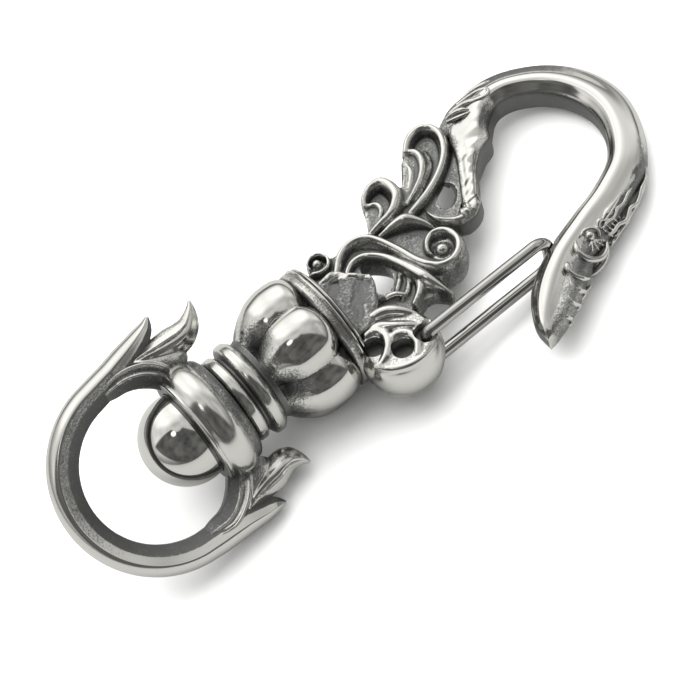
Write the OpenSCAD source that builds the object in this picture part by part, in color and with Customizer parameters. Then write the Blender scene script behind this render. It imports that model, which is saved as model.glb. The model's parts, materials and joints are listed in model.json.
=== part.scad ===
// Carabiner clasp: a cast snap hook with scrollwork, a lobed barrel, a swivelling hoop held by a
// ball head, and a sprung wire gate. Everything is drawn with the long axis along X, the hook in the
// XY plane and the scrolls on the +Y side, and is then laid down the way it rests on a table.

/* [Barrel] */
// Largest radius of the lobed barrel, over the lobes
barrel_r = 9.3; // [8.8:0.1:9.6]
// Number of lobes round the barrel
lobes = 6; // [5:1:7]
// Depth of the valleys between the lobes
lobe_depth = 1.3; // [0.6:0.1:1.6]

/* [Collar and neck] */
// Radius of the double-ridged collar between barrel and hook
collar_r = 8.4; // [8:0.1:8.8]
// Radius of the larger neck ring, next to the barrel
neck_r = 6.5; // [6.2:0.1:6.8]
// Radius of the smaller neck ring, next to the swivel band
neck_small_r = 5.95; // [5.6:0.05:6.1]

/* [Swivel] */
// Radius of the ball head that holds the swivel hoop
ball_r = 5.9; // [5.6:0.1:6]
// Radius of the shank that the hoop turns on
shank_r = 2.5; // [2.2:0.1:2.8]
// Running clearance between shank and band
swivel_gap = 0.06; // [0.04:0.01:0.1]
// Turn of the hoop about the long axis, as it lies
hoop_turn = 38; // [0:1:60]

/* [Hoop] */
// Radius of the hoop's opening
hoop_inner_r = 9.4; // [9:0.1:9.8]
// Width of the hoop's bar, in its own plane
hoop_bar_w = 3.8; // [3.4:0.1:4.2]
// Thickness of the hoop's bar, across its plane
hoop_bar_t = 4.2; // [3.6:0.1:4.6]

/* [Hook] */
// Width of the hook's bar along its far arc, in its own plane
hook_bar_w = 5.2; // [4.8:0.1:5.6]
// Thickness of the hook's bar, across its plane
hook_bar_t = 5.6; // [5:0.1:6]

/* [Scrollwork] */
// Height of the scrolls' raised rims above the middle plane
rim_h = 2.6; // [2.2:0.1:3]
// Height of the sunk floor between the rims
floor_h = 1.3; // [1:0.1:1.6]
// Width of a raised rim
rim_w = 0.9; // [0.8:0.05:1.1]

/* [Knuckle and gate] */
// Radius of the round knuckle that carries the gate
knuckle_r = 5.2; // [5:0.1:5.3]
// Height of the knuckle's flat face above the middle plane
knuckle_h = 3.3; // [3.1:0.1:3.5]
// Diameter of the gate's wire
wire_d = 1.6; // [1.4:0.1:1.7]
// Distance between the centre lines of the gate's two legs
leg_spacing = 5.8; // [5.6:0.1:6]
// Running clearance round the gate's turned-in ends
gate_gap = 0.05; // [0.03:0.01:0.08]
// Angle that the gate can be pressed in
gate_swing = 20; // [10:1:20]

/* [How it lies] */
// Turn about the long axis that sets two of the barrel's lobes on the table
rest_roll = 1.8; // [0:0.1:6]
// Dip of the hook end
rest_pitch = 7; // [0:0.1:8]
// Height of the barrel's centre above the table
rest_height = 9; // [8.8:0.01:10]

/* [Hidden] */

round_fn = 96;     // sides of a turned surface
steps = 4;         // points that a smooth curve gets between two rows of its table
silver = "silver";

// Stations along the long axis
ball_x = -17;         // centre of the ball head
band_x0 = -15.9;      // rim of the swivel band
band_x1 = -10.5;      // its other face
neck_x0 = -10.3;      // smaller neck ring
neck_x1 = -5.2;       // neck rings meet the barrel
barrel_x1 = 3.9;      // barrel meets the collar
collar_x1 = 6.3;      // collar meets the block
shank_x1 = -1;        // blind end of the shank inside the barrel
hoop_x = -21.6;       // centre of the hoop
socket_gap = 0.03;    // fit of the fixed end of the shank
seat_gap = 0.1;       // play between the ball head and its seat

gate_pin = [12.2, -11.5];   // the gate's hinge, in the hook's plane
gate_end_x = 31.2;          // middle of the wire at the gate's closed end
gate_bend_r = 2;            // bend radius of the wire's centre line
wire_r = wire_d / 2;
leg_z = leg_spacing / 2;
bore_r = wire_r + gate_gap;
recess_r = 1.45;            // round recesses in the knuckle's faces
recess_depth = 2;

// Curves and sweeps

function cubic(a, b, c, d, t) =
    0.5 * (2 * b + (c - a) * t + (2 * a - 5 * b + 4 * c - d) * t * t + (3 * b - a - 3 * c + d) * t * t * t);

// A smooth curve through every row of a table, whatever its columns
function smooth(rows, n = steps) =
    let (last = len(rows) - 1)
    concat([for (i = [0:last - 1]) for (k = [0:n - 1])
                cubic(rows[max(i - 1, 0)], rows[i], rows[i + 1], rows[min(i + 2, last)], k / n)],
           [rows[last]]);

function unit(v) = v / norm(v);
function xy(row) = [row[0], row[1]];

// Direction square to the path at row i, in the XY plane, to its left
function side(rows, i) =
    let (last = len(rows) - 1,
         d = unit(xy(rows[min(i + 1, last)]) - xy(rows[max(i - 1, 0)])))
    [-d[1], d[0]];

// Points of a circular arc
function arc(centre, r, a0, a1, n) =
    [for (k = [0:n]) let (a = a0 + (a1 - a0) * k / n) centre + r * [cos(a), sin(a)]];

// Points of a spiral whose radius goes from r0 to r1
function spiral(centre, r0, r1, a0, a1, n) =
    [for (k = [0:n]) let (t = k / n, a = a0 + (a1 - a0) * t)
        centre + (r0 + (r1 - r0) * t) * [cos(a), sin(a)]];

// Closed outline of a ribbon that follows a path and narrows from w0 to w1
function ribbon(path, w0, w1) =
    let (last = len(path) - 1)
    concat([for (i = [0:last]) path[i] + side(path, i) * (w0 + (w1 - w0) * i / last) / 2],
           [for (i = [last:-1:0]) path[i] - side(path, i) * (w0 + (w1 - w0) * i / last) / 2]);

// Outline of a bar's section: columns are the place across its width, from inner to outer edge,
// and the share of its half thickness
ROUND_HALF = [for (k = [0:6]) let (a = 180 - 30 * k)
                 [sign(cos(a)) * pow(abs(cos(a)), 0.8) / 2, pow(abs(sin(a)), 0.8)]];
RIDGE_HALF = [[-0.5, 0.14], [-0.46, 0.4], [-0.3, 0.74], [-0.1, 1], [0.14, 0.92],
              [0.34, 0.68], [0.46, 0.36], [0.5, 0]];

function both_faces(half) =
    concat(half, [for (k = [len(half) - 1:-1:0]) if (half[k][1] > 0.01) [half[k][0], -half[k][1]]]);

// Solid bar through rows of [x, y, width, thickness], with a section made by both_faces
module bar(rows, section) {
    n = len(section);
    m = len(rows);
    points = [for (i = [0:m - 1]) let (s = side(rows, i)) for (q = section)
        [rows[i][0] - s[0] * q[0] * rows[i][2], rows[i][1] - s[1] * q[0] * rows[i][2],
         q[1] * rows[i][3] / 2]];
    faces = concat(
        [for (i = [0:m - 2]) for (k = [0:n - 1]) [i * n + k, (i + 1) * n + (k + 1) % n, i * n + (k + 1) % n]],
        [for (i = [0:m - 2]) for (k = [0:n - 1]) [i * n + k, (i + 1) * n + k, (i + 1) * n + (k + 1) % n]],
        [for (k = [1:n - 2]) [0, k, k + 1]],
        [for (k = [1:n - 2]) [(m - 1) * n, (m - 1) * n + k + 1, (m - 1) * n + k]]);
    polyhedron(points, faces);
}

// A turned form about the long axis; profile columns are [radius, x]
module turned(profile) {
    rotate([0, 90, 0]) rotate_extrude($fn = round_fn) polygon(profile);
}

// A cylinder along the long axis from x0 to x1
module rod(r, x0, x1) {
    translate([x0, 0, 0]) rotate([0, 90, 0]) cylinder(r = r, h = x1 - x0, $fn = round_fn);
}

// A raised rim of the scrollwork, the same on both faces
module rim(path, w0 = rim_w, w1 = rim_w, h = rim_h) {
    linear_extrude(2 * h, center = true) polygon(ribbon(path, w0, w1));
}

module slab(outline, h) {
    linear_extrude(2 * h, center = true) polygon(outline);
}

// The hook's bar: columns are x, y, share of the bar's width, share of its thickness
HOOK_ROWS = [
    [24.6, 0.4, 0.5, 0.8],
    [27.4, 1.6, 0.58, 0.84],
    [30.2, 4, 0.58, 0.88],
    [33.2, 7.8, 0.7, 0.92],
    [36.2, 10.9, 1.1, 1],
    [40, 12, 0.96, 1],
    [43.8, 11.3, 0.94, 1],
    [47.7, 8.6, 0.96, 1],
    [50.2, 4.6, 1, 1],
    [50.9, 0, 0.98, 1],
    [49.6, -4.6, 0.94, 1],
    [46.4, -8.9, 0.94, 0.98],
    [41.5, -11.4, 0.94, 0.96],
    [36.8, -12.9, 1.02, 0.96],
    [31.6, -14.8, 1.12, 0.96],
    [27.6, -17.2, 1.16, 0.9],
    [24.6, -19.6, 0.8, 0.62],
    [22.6, -21.8, 0.12, 0.16]];

module hook_bar() {
    rows = [for (r = smooth(HOOK_ROWS)) [r[0], r[1], r[2] * hook_bar_w, r[3] * hook_bar_t]];
    bar(rows, both_faces(ROUND_HALF));
}

// The scrolls' rims: each table holds points in the hook's plane
S_ROWS = [[8.7, 3.3], [10.5, 5.5], [13.5, 6.8], [16.3, 5.1], [17.9, 1.7], [18.7, -1.5]];
VOLUTE = [21.5, -2.6];
LEAF_ROWS = [[9.8, 2.2], [12.6, 4.1], [15.2, 2.7], [16.5, -0.8], [17.2, -3.9], [19, -7.4]];
LEAF_BACK = [[19, -7.4], [16.8, -6.2], [15, -5.8], [12.8, -6.8]];
CURL = [9.5, 7.3];
TALL_ROWS = [[20.5, 3.7], [24.1, 4.7], [28.3, 6.5], [31.1, 8.7], [32, 11.7], [30.5, 13.9],
             [28, 13.6], [26.1, 11.5]];
TALL_INNER = [[22.5, 4.9], [26.1, 6.9], [28.3, 9.3], [28.1, 11.2], [26.5, 11.2], [25.3, 9.3]];
SMALL_ROWS = [[16.9, 4.9], [20.5, 5.7], [23, 7.2], [23.3, 9.5], [21.7, 11.3], [19.7, 10.7], [18.9, 8.9]];
MIDDLE_ROWS = [[16.7, 4.7], [20.1, 4.3], [23.1, 2.1], [25.1, -0.5]];
CLAW_ROWS = [[27.7, 0.9], [25.5, 1.1], [24.4, 3.9]];

// Sunk floor under the scrolls, one outline
FLOOR_ROWS = [[6.2, 3.7], [8.1, 6.7], [10.7, 7.1], [13.5, 6.7], [16.7, 5.9], [18.7, 9.1], [20.7, 11.1],
              [22.7, 10.1], [24.5, 8.7], [25.9, 11.7], [28.7, 13.7], [31.1, 13.1], [31.9, 10.7],
              [33.4, 8.4], [29.6, 2.4], [25.4, -0.6], [23, -4.8], [19.6, -4.8], [18.8, -7.2],
              [14.6, -6], [12, -7.1], [6.2, -6]];
HOLE_LOW = [13.4, -0.6];     // opening beside the block
HOLE_HIGH = [27.7, 4];       // opening beside the hook's stem

function ellipse(centre, a, b, turn, n = 20) =
    [for (k = [0:n - 1]) let (t = 360 * k / n, u = a * cos(t), v = b * sin(t))
        centre + [u * cos(turn) - v * sin(turn), u * sin(turn) + v * cos(turn)]];

module scrollwork() {
    difference() {
        slab(FLOOR_ROWS, floor_h);
        slab(ellipse(HOLE_LOW, 2, 1.2, 67), 4);
        slab(ellipse(HOLE_HIGH, 1.7, 0.9, 29), 4);
    }
    rim(concat(smooth(S_ROWS), spiral(VOLUTE, 2.7, 2.2, 196, 470, 20)));
    rim(smooth(LEAF_ROWS), rim_w * 1.2, 0.5, 1.9);
    rim(smooth(LEAF_BACK), 0.5, rim_w, 1.9);
    rim(spiral(CURL, 1.6, 1, -120, 170, 14), 0.8, 0.7);
    rim(smooth(TALL_ROWS), rim_w, rim_w * 1.3);
    rim(smooth(TALL_INNER), rim_w * 0.7, rim_w * 1.3, 2.5);
    rim(smooth(SMALL_ROWS), rim_w, rim_w * 1.2);
    rim(smooth(MIDDLE_ROWS), rim_w, rim_w, 2.4);
    rim(smooth(CLAW_ROWS), rim_w * 1.4, rim_w * 0.8, 2.4);
    for (z = [-1, 1]) {
        translate([VOLUTE[0], VOLUTE[1], z * 1.7]) sphere(r = 0.95, $fn = 24);
        translate([CURL[0], CURL[1], z * 2]) sphere(r = 0.7, $fn = 24);
    }
}

// The plain root that carries the scrolls and the knuckle on the collar
BLOCK_ROWS = [[6, 3.1], [8.1, 3], [10.6, 2.2], [12.3, -0.9], [10.9, -3.9], [8.8, -6.2], [6, -6.2]];

module block() {
    slab(BLOCK_ROWS, 4.1);
}

module collar() {
    turned([[0, barrel_x1], [collar_r - 0.5, barrel_x1], [collar_r - 0.1, barrel_x1 + 0.3],
            [collar_r - 0.1, barrel_x1 + 0.9], [collar_r, barrel_x1 + 1.2], [collar_r, barrel_x1 + 1.5],
            [collar_r - 0.5, barrel_x1 + 1.7], [collar_r - 0.2, barrel_x1 + 1.95],
            [collar_r - 0.3, barrel_x1 + 2.2], [collar_r - 1, collar_x1], [0, collar_x1]]);
}

KNUCKLE = [9.3, -9.7];

module knuckle_solid() {
    intersection() {
        translate([KNUCKLE[0], KNUCKLE[1], 0]) sphere(r = knuckle_r, $fn = round_fn);
        translate([KNUCKLE[0] - 6, KNUCKLE[1] - 6, -knuckle_h]) cube([12, 12, 2 * knuckle_h]);
    }
    // Ribs between the block and the round recesses
    rim([[7.6, -5.2], [10.6, -5.6], [13.6, -7]], 1, 0.7, 3.9);
    rim([[7.6, -6.6], [10.6, -7], [13.6, -8.4]], 1, 0.7, 3.7);
}

// Pocket in one face of the knuckle that the gate's leg lies and swings in
module leg_pocket() {
    pocket_floor = leg_z - wire_r - 0.15;
    translate([gate_pin[0], gate_pin[1], pocket_floor]) {
        cylinder(r = recess_r, h = 4, $fn = round_fn);
        linear_extrude(4) polygon(concat([[0, -wire_r - 0.25]], [[7, -wire_r - 0.25]],
            [[7, 7 * tan(gate_swing + 2) + wire_r + 0.3]], [[0, wire_r + 0.4]]));
    }
}

module hook_casting() {
    color(silver) difference() {
        union() {
            hook_bar();
            scrollwork();
            block();
            collar();
            knuckle_solid();
        }
        translate([gate_pin[0], gate_pin[1], -6]) cylinder(r = bore_r, h = 12, $fn = round_fn);
        // Groove across the nose that the closed gate rests in
        translate([gate_end_x, gate_pin[1], -5]) cylinder(r = wire_r + 0.1, h = 10, $fn = 32);
        for (z = [0, 1]) mirror([0, 0, z]) {
            leg_pocket();
            for (p = [[6.3, -8.6], [9.1, -10.9]])
                translate([p[0], p[1], knuckle_h - recess_depth]) cylinder(r = recess_r - 0.1, h = 4, $fn = 32);
        }
    }
}

// The barrel's outline: columns are x, share of the largest radius, share of the lobes' depth
BARREL_ROWS = [[-5.2, 0.62, 0.1], [-4.8, 0.72, 0.5], [-4, 0.82, 0.9], [-2.4, 0.92, 1], [-0.6, 0.985, 1],
               [1, 1, 0.9], [2.4, 0.97, 0.7], [3.3, 0.9, 0.5], [3.9, 0.79, 0.3]];
lobe_turn = 30;       // the first lobe stands this far from the middle plane

function lobe_dip(a) = let (u = abs(((a - lobe_turn) * lobes / 360 + 100.5) % 1 - 0.5) * 2) pow(u, 3);

module barrel_solid() {
    rows = smooth(BARREL_ROWS, 3);
    m = len(rows);
    n = 60;
    points = concat(
        [for (r = rows) for (k = [0:n - 1]) let (a = 360 * k / n,
            q = r[1] * barrel_r - r[2] * lobe_depth * lobe_dip(a)) [r[0], q * sin(a), q * cos(a)]],
        [[rows[0][0], 0, 0], [rows[m - 1][0], 0, 0]]);
    faces = concat(
        [for (i = [0:m - 2]) for (k = [0:n - 1]) [i * n + k, i * n + (k + 1) % n, (i + 1) * n + (k + 1) % n]],
        [for (i = [0:m - 2]) for (k = [0:n - 1]) [i * n + k, (i + 1) * n + (k + 1) % n, (i + 1) * n + k]],
        [for (k = [0:n - 1]) [m * n, (k + 1) % n, k]],
        [for (k = [0:n - 1]) [m * n + 1, (m - 1) * n + k, (m - 1) * n + (k + 1) % n]]);
    polyhedron(points, faces);
}

module barrel() {
    color(silver) difference() {
        barrel_solid();
        rod(shank_r + socket_gap, neck_x1 - 1, shank_x1 + 0.1);
    }
}

module neck_rings() {
    bore = shank_r + socket_gap;
    color(silver) turned([[bore, neck_x0], [neck_small_r - 0.3, neck_x0], [neck_small_r, neck_x0 + 0.35],
        [neck_small_r, neck_x0 + 1.5], [neck_small_r - 0.5, neck_x0 + 1.9], [neck_r - 0.4, neck_x0 + 2.3],
        [neck_r, neck_x0 + 2.6], [neck_r, neck_x0 + 3.8], [neck_r - 0.4, neck_x0 + 4.1],
        [neck_r - 1, neck_x0 + 4.3], [neck_r - 0.8, neck_x1], [bore, neck_x1]]);
}

module ball_head() {
    color(silver) union() {
        translate([ball_x, 0, 0]) sphere(r = ball_r, $fn = round_fn);
        rod(shank_r, ball_x, shank_x1);
    }
}

// Upper half of the hoop in its own plane: columns are x, y, share of width, share of thickness
LEAF_TIP_ROWS = [[-11.8, 14.4, 0.12, 0.2], [-13, 13.4, 0.5, 0.6], [-14.8, 12.7, 0.74, 0.84],
                 [-17, 12, 0.94, 0.96], [-19.4, 11.5, 1, 1]];
LONG_LEAF_ROWS = [[-19.6, 10.5, 0.4, 0.5], [-17.6, 10.1, 0.7, 0.8], [-14.8, 10.2, 0.86, 0.92],
                  [-12, 10.3, 0.86, 0.94], [-10, 10.1, 0.82, 0.86], [-8.4, 10.4, 0.68, 0.7],
                  [-7.2, 11.3, 0.42, 0.46], [-6.4, 12.8, 0.1, 0.16]];
// Web between the long leaf and the band
WEB_ROWS = [[-18.8, 9.3], [-17.4, 8.1], [-15.5, 6.8], [-11, 6.5], [-11, 9.2], [-15, 9.6]];

module swivel_band() {
    turned([[0, band_x0], [7.4, band_x0], [8, band_x0 + 1], [8.2, band_x0 + 2.1], [8, band_x0 + 3.1],
            [7.3, band_x0 + 4.1], [6.9, band_x1 - 0.4], [6.6, band_x1], [0, band_x1]]);
}

// What the ball head and its shank take out of the band
module swivel_seat() {
    translate([ball_x, 0, 0]) sphere(r = ball_r + seat_gap, $fn = round_fn);
    rod(shank_r + swivel_gap, band_x0 - 1, band_x1 + 1);
}

module hoop_bar() {
    mid_r = hoop_inner_r + hoop_bar_w / 2;
    upper = smooth(LEAF_TIP_ROWS, 3);
    ring = [for (p = arc([hoop_x, 0], mid_r, 90, 270, 28)) [p[0], p[1], 1, 1]];
    lower = [for (k = [len(upper) - 1:-1:0]) [upper[k][0], -upper[k][1], upper[k][2], upper[k][3]]];
    rows = [for (r = concat(upper, ring, lower)) [r[0], r[1], r[2] * hoop_bar_w, r[3] * hoop_bar_t]];
    bar(rows, both_faces(RIDGE_HALF));
}

module long_leaf() {
    bar([for (r = smooth(LONG_LEAF_ROWS)) [r[0], r[1], r[2] * hoop_bar_w, r[3] * hoop_bar_t]],
        both_faces(ROUND_HALF));
}

module swivel_hoop() {
    color(silver) rotate([hoop_turn, 0, 0]) difference() {
        union() {
            swivel_band();
            hoop_bar();
            for (s = [0, 1]) mirror([0, s, 0]) {
                long_leaf();
                slab(WEB_ROWS, 1.8);
            }
        }
        swivel_seat();
    }
}

module wire_bend(x, s) {
    translate([x, 0, s * (leg_z - gate_bend_r)]) rotate([90, 0, 0])
        rotate_extrude(angle = 90 * s, $fn = 48) translate([gate_bend_r, 0]) circle(r = wire_r, $fn = 32);
}

module wire_gate() {
    bend_x = gate_end_x - gate_bend_r;
    color(silver) translate([0, gate_pin[1], 0]) union() {
        for (s = [-1, 1]) {
            translate([gate_pin[0], 0, s * leg_z]) {
                rotate([0, 90, 0]) cylinder(r = wire_r, h = bend_x - gate_pin[0], $fn = 32);
                sphere(r = wire_r, $fn = 32);
            }
            translate([gate_pin[0], 0, s > 0 ? 0.3 : -leg_z]) cylinder(r = wire_r, h = leg_z - 0.3, $fn = 32);
            wire_bend(bend_x, s);
        }
        translate([gate_end_x, 0, gate_bend_r - leg_z])
            cylinder(r = wire_r, h = 2 * (leg_z - gate_bend_r), $fn = 32);
    }
}

// The clasp as it lies on the table, with its outline centred on the origin
module laid() {
    translate([-9.3, 3.7, rest_height]) rotate([0, rest_pitch, 0]) rotate([rest_roll, 0, 0]) children();
}

laid() hook_casting();
laid() barrel();
laid() neck_rings();
laid() ball_head();
laid() swivel_hoop();
laid() wire_gate();
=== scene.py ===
"""Carabiner clasp: a cast snap hook with scrollwork, a lobed barrel, a swivel hoop and a wire gate.

Pieces are drawn in the clasp's own frame, in millimetres, with the long axis along X, the hook in
the XY plane and the scrolls on the +Y side. Each finished mesh is then laid down in the row frame.
"""

from __future__ import annotations

import json
import logging
import math
from contextlib import contextmanager
from dataclasses import dataclass
from enum import Enum
from typing import Iterable, Iterator, Sequence

import bpy
import numpy as np
from mathutils import Matrix, Vector

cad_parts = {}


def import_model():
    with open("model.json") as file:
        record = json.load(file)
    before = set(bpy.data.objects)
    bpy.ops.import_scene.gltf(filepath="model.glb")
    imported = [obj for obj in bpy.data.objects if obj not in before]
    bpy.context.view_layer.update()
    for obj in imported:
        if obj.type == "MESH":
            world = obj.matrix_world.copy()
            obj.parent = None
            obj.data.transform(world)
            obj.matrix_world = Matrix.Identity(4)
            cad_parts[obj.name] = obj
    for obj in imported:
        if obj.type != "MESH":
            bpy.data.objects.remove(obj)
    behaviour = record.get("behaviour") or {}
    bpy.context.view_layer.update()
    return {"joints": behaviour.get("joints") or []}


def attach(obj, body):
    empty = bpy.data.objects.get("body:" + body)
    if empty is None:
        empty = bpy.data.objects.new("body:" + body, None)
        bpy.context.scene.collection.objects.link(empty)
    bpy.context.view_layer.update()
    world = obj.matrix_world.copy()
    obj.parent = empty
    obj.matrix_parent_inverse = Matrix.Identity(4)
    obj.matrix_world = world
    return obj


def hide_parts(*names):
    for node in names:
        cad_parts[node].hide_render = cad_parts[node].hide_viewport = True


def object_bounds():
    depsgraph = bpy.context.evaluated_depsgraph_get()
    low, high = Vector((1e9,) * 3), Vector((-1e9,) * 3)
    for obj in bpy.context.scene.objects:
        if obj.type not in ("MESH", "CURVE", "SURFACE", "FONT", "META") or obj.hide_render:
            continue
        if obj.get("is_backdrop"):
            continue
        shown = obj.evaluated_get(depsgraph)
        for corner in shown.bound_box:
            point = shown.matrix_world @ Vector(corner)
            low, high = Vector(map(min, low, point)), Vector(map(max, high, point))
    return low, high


LOG = logging.getLogger("clasp")
Array = np.ndarray
Obj = bpy.types.Object
Socket = bpy.types.NodeSocket
Row = tuple[float, ...]
Rows = Sequence[Row]

MM = 0.001
JOINT_X = -14.0          # station of the swivel joint on the long axis
POLISHED_ANGLE = math.radians(32)   # sharper edges than this stay crisp
FINE_DETAIL, BLOTCH_SCALE = 2.0, 700.0     # of the patina's ragged edge
WAVE_DETAIL, WAVE_SCALE = 0.5, 230.0       # of the hand-worked waves
SMEAR_DETAIL, SMEAR_SCALE = 4.0, 260.0     # of the handling marks


class Body(Enum):
    """The rigid bodies that a piece can ride on."""

    CLASP = "clasp"
    HOOP = "hoop"
    GATE = "gate"


class Slot(Enum):
    """The record's material slots."""

    HOOK = "hook_metal"
    BARREL = "barrel_metal"
    RING = "ring_metal"
    BALL = "ball_metal"
    HOOP = "hoop_metal"
    GATE = "gate_wire"


# Lines and curves


def smooth(rows: Rows, n: int) -> list[Row]:
    """A smooth curve through every row of a table.

    Args:
        rows: Rows of any number of columns.
        n: Points that the curve gets from one row to the next.

    Returns:
        The curve's rows, the last one included.
    """
    table = np.array(rows, float)
    last = len(table) - 1
    made = []
    for i in range(last):
        a, b, c, d = (table[min(max(k, 0), last)] for k in (i - 1, i, i + 1, i + 2))
        for k in range(n):
            t = k / n
            made.append(0.5 * (2 * b + (c - a) * t + (2 * a - 5 * b + 4 * c - d) * t * t
                               + (3 * b - a - 3 * c + d) * t ** 3))
    made.append(table[last])
    return [tuple(float(v) for v in row) for row in made]


def closed(rows: Rows, n: int) -> list[Row]:
    """A smooth closed curve through every row of a table, which ends just before its first row."""
    return smooth((*rows, rows[0]), n)[:-1]


def folded(half: Rows) -> list[Row]:
    """A closed section (y, z) at unit size, from its upper half (y, height)."""
    return [(u, v / 2) for u, v in half] + [(u, -v / 2) for u, v in half[-2:0:-1]]


def spiral(centre: Row, r0: float, r1: float, a0: float, a1: float, n: int) -> list[Row]:
    """Points of a spiral or an arc.

    Args:
        centre: Its centre.
        r0: First radius.
        r1: Last radius.
        a0: First angle, in degrees.
        a1: Last angle, in degrees.
        n: Number of steps.

    Returns:
        n + 1 points.
    """
    made = []
    for k in range(n + 1):
        t = k / n
        r, a = r0 + (r1 - r0) * t, math.radians(a0 + (a1 - a0) * t)
        made.append((centre[0] + r * math.cos(a), centre[1] + r * math.sin(a)))
    return made


def round_section(n: int, r: float = 1.0) -> list[Row]:
    """Points of a circle, for a section."""
    return [(r * math.cos(math.tau * k / n), r * math.sin(math.tau * k / n)) for k in range(n)]


def ramp(low: float, high: float, value: Array) -> Array:
    """A soft step from 0 at low to 1 at high."""
    t = np.clip((value - low) / (high - low), 0, 1)
    return t * t * (3 - 2 * t)


def between(value: Array, a: float, b: float, c: float, d: float) -> Array:
    """A soft step up from a to b, and down again from c to d."""
    return ramp(a, b, value) * ramp(d, c, value)


def bell(value: Array, middle: float, reach: float) -> Array:
    """A bell curve that is 1 at its middle."""
    return np.exp(-((value - middle) / reach) ** 2)


# Work at the bench


def clear() -> None:
    """Leaves edit mode and selects nothing."""
    if bpy.context.object and bpy.context.object.mode != "OBJECT":
        bpy.ops.object.mode_set(mode="OBJECT")
    bpy.ops.object.select_all(action="DESELECT")


def take(*objs: Obj) -> Obj:
    """Selects these objects alone and makes the first one active.

    Args:
        objs: One or more objects.

    Returns:
        The first one.
    """
    clear()
    for o in objs:
        o.select_set(True)
    bpy.context.view_layer.objects.active = objs[0]
    return objs[0]


def added(name: str) -> Obj:
    """Names the object that was just made, and its mesh.

    Args:
        name: The name.

    Returns:
        The object.
    """
    obj = bpy.context.object
    obj.name = obj.data.name = name
    return obj


@contextmanager
def editing(obj: Obj) -> Iterator[None]:
    """Edit mode on one object, with all of it selected.

    Args:
        obj: The mesh object.
    """
    take(obj)
    bpy.ops.object.mode_set(mode="EDIT")
    bpy.ops.mesh.select_all(action="SELECT")
    yield
    bpy.ops.object.mode_set(mode="OBJECT")


def applied(obj: Obj, kind: str, **settings: object) -> Obj:
    """Adds a modifier and applies it.

    Args:
        obj: The mesh object.
        kind: The modifier's type.
        settings: Its settings.

    Returns:
        The same object.
    """
    take(obj)
    modifier = obj.modifiers.new(kind.lower(), kind)
    for key, value in settings.items():
        setattr(modifier, key, value)
    bpy.ops.object.modifier_apply(modifier=modifier.name)
    return obj


def joined(name: str, parts: Sequence[Obj]) -> Obj:
    """Makes one mesh object of several.

    Args:
        name: Name of the result.
        parts: Mesh objects.

    Returns:
        The joined object.
    """
    take(*parts)
    if len(parts) > 1:
        bpy.ops.object.join()
    return added(name)


def cut(obj: Obj, tools: Iterable[Obj]) -> Obj:
    """Takes cutter solids out of an object and throws them away.

    Args:
        obj: The mesh object.
        tools: The cutters.

    Returns:
        The same object.
    """
    for tool in tools:
        applied(obj, "BOOLEAN", operation="DIFFERENCE", solver="EXACT", object=tool)
        bpy.data.objects.remove(tool)
    return obj


def closed_up(obj: Obj) -> Obj:
    """Merges doubles and turns the faces outwards.

    Args:
        obj: The mesh object.

    Returns:
        The same object.
    """
    with editing(obj):
        bpy.ops.mesh.remove_doubles(threshold=1e-4)
        bpy.ops.mesh.normals_make_consistent(inside=False)
    return obj


def polygon(name: str, corners: Rows) -> Obj:
    """One flat face.

    Args:
        name: Name of the object.
        corners: Its corners (x, y, z).

    Returns:
        The face.
    """
    clear()
    bpy.ops.mesh.primitive_circle_add(vertices=len(corners), fill_type="NGON")
    face = added(name)
    for vertex, corner in zip(face.data.vertices, corners):
        vertex.co = corner
    return face


def polyline(rows: Rows) -> Obj:
    """A curve of straight steps.

    Args:
        rows: Rows (x, y, z, radius).

    Returns:
        The curve object.
    """
    clear()
    bpy.ops.curve.primitive_nurbs_path_add()
    guide = bpy.context.object
    guide.data.splines.clear()
    line = guide.data.splines.new("POLY")
    line.points.add(len(rows) - 1)
    for point, (x, y, z, r) in zip(line.points, rows):
        point.co = (x, y, z, 1)
        point.radius = r
    return guide


def section_bar(name: str, section: Rows, stations: Rows) -> Obj:
    """Draws a closed section and extrudes it ring by ring along +X.

    Args:
        name: Name of the object.
        section: Points (y, z) of the section at unit size.
        stations: Rows (x, size along y, size along z).

    Returns:
        The straight solid.
    """
    x0, w, t = stations[0]
    bar = polygon(name, [(x0, y * w, z * t) for y, z in section])
    with editing(bar):
        for x, width, thick in stations[1:]:
            bpy.ops.mesh.extrude_region_move(TRANSFORM_OT_translate={"value": (x - x0, 0, 0)})
            bpy.ops.transform.resize(value=(1, width / w, thick / t), center_override=(x, 0, 0))
            x0, w, t = x, width, thick
    return closed_up(bar)


def turned(name: str, profile: Rows, sides: int) -> Obj:
    """A turned form about the long axis.

    Args:
        name: Name of the object.
        profile: Rows (x, radius).
        sides: Number of sides of its round.

    Returns:
        The closed solid.
    """
    return section_bar(name, round_section(sides), [(x, r, r) for x, r in profile])


def along(rows: Rows) -> list[float]:
    """Way along a path in the hook's plane, from its start to each of its rows.

    Args:
        rows: Rows that start with (x, y).

    Returns:
        One number for each row.
    """
    made = [0.0]
    for a, b in zip(rows, rows[1:]):
        made.append(made[-1] + math.dist(a[:2], b[:2]))
    return made


def straight(name: str, section: Rows, rows: Rows) -> Obj:
    """A bar before it is bent along its path.

    Args:
        name: Name of the object.
        section: Points (y, z) of its section at unit size.
        rows: Rows (x, y, width, thickness) of the path.

    Returns:
        The bar; its X is the way along the path.
    """
    return section_bar(name, section, [(way, row[2], row[3]) for way, row in zip(along(rows), rows)])


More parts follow.
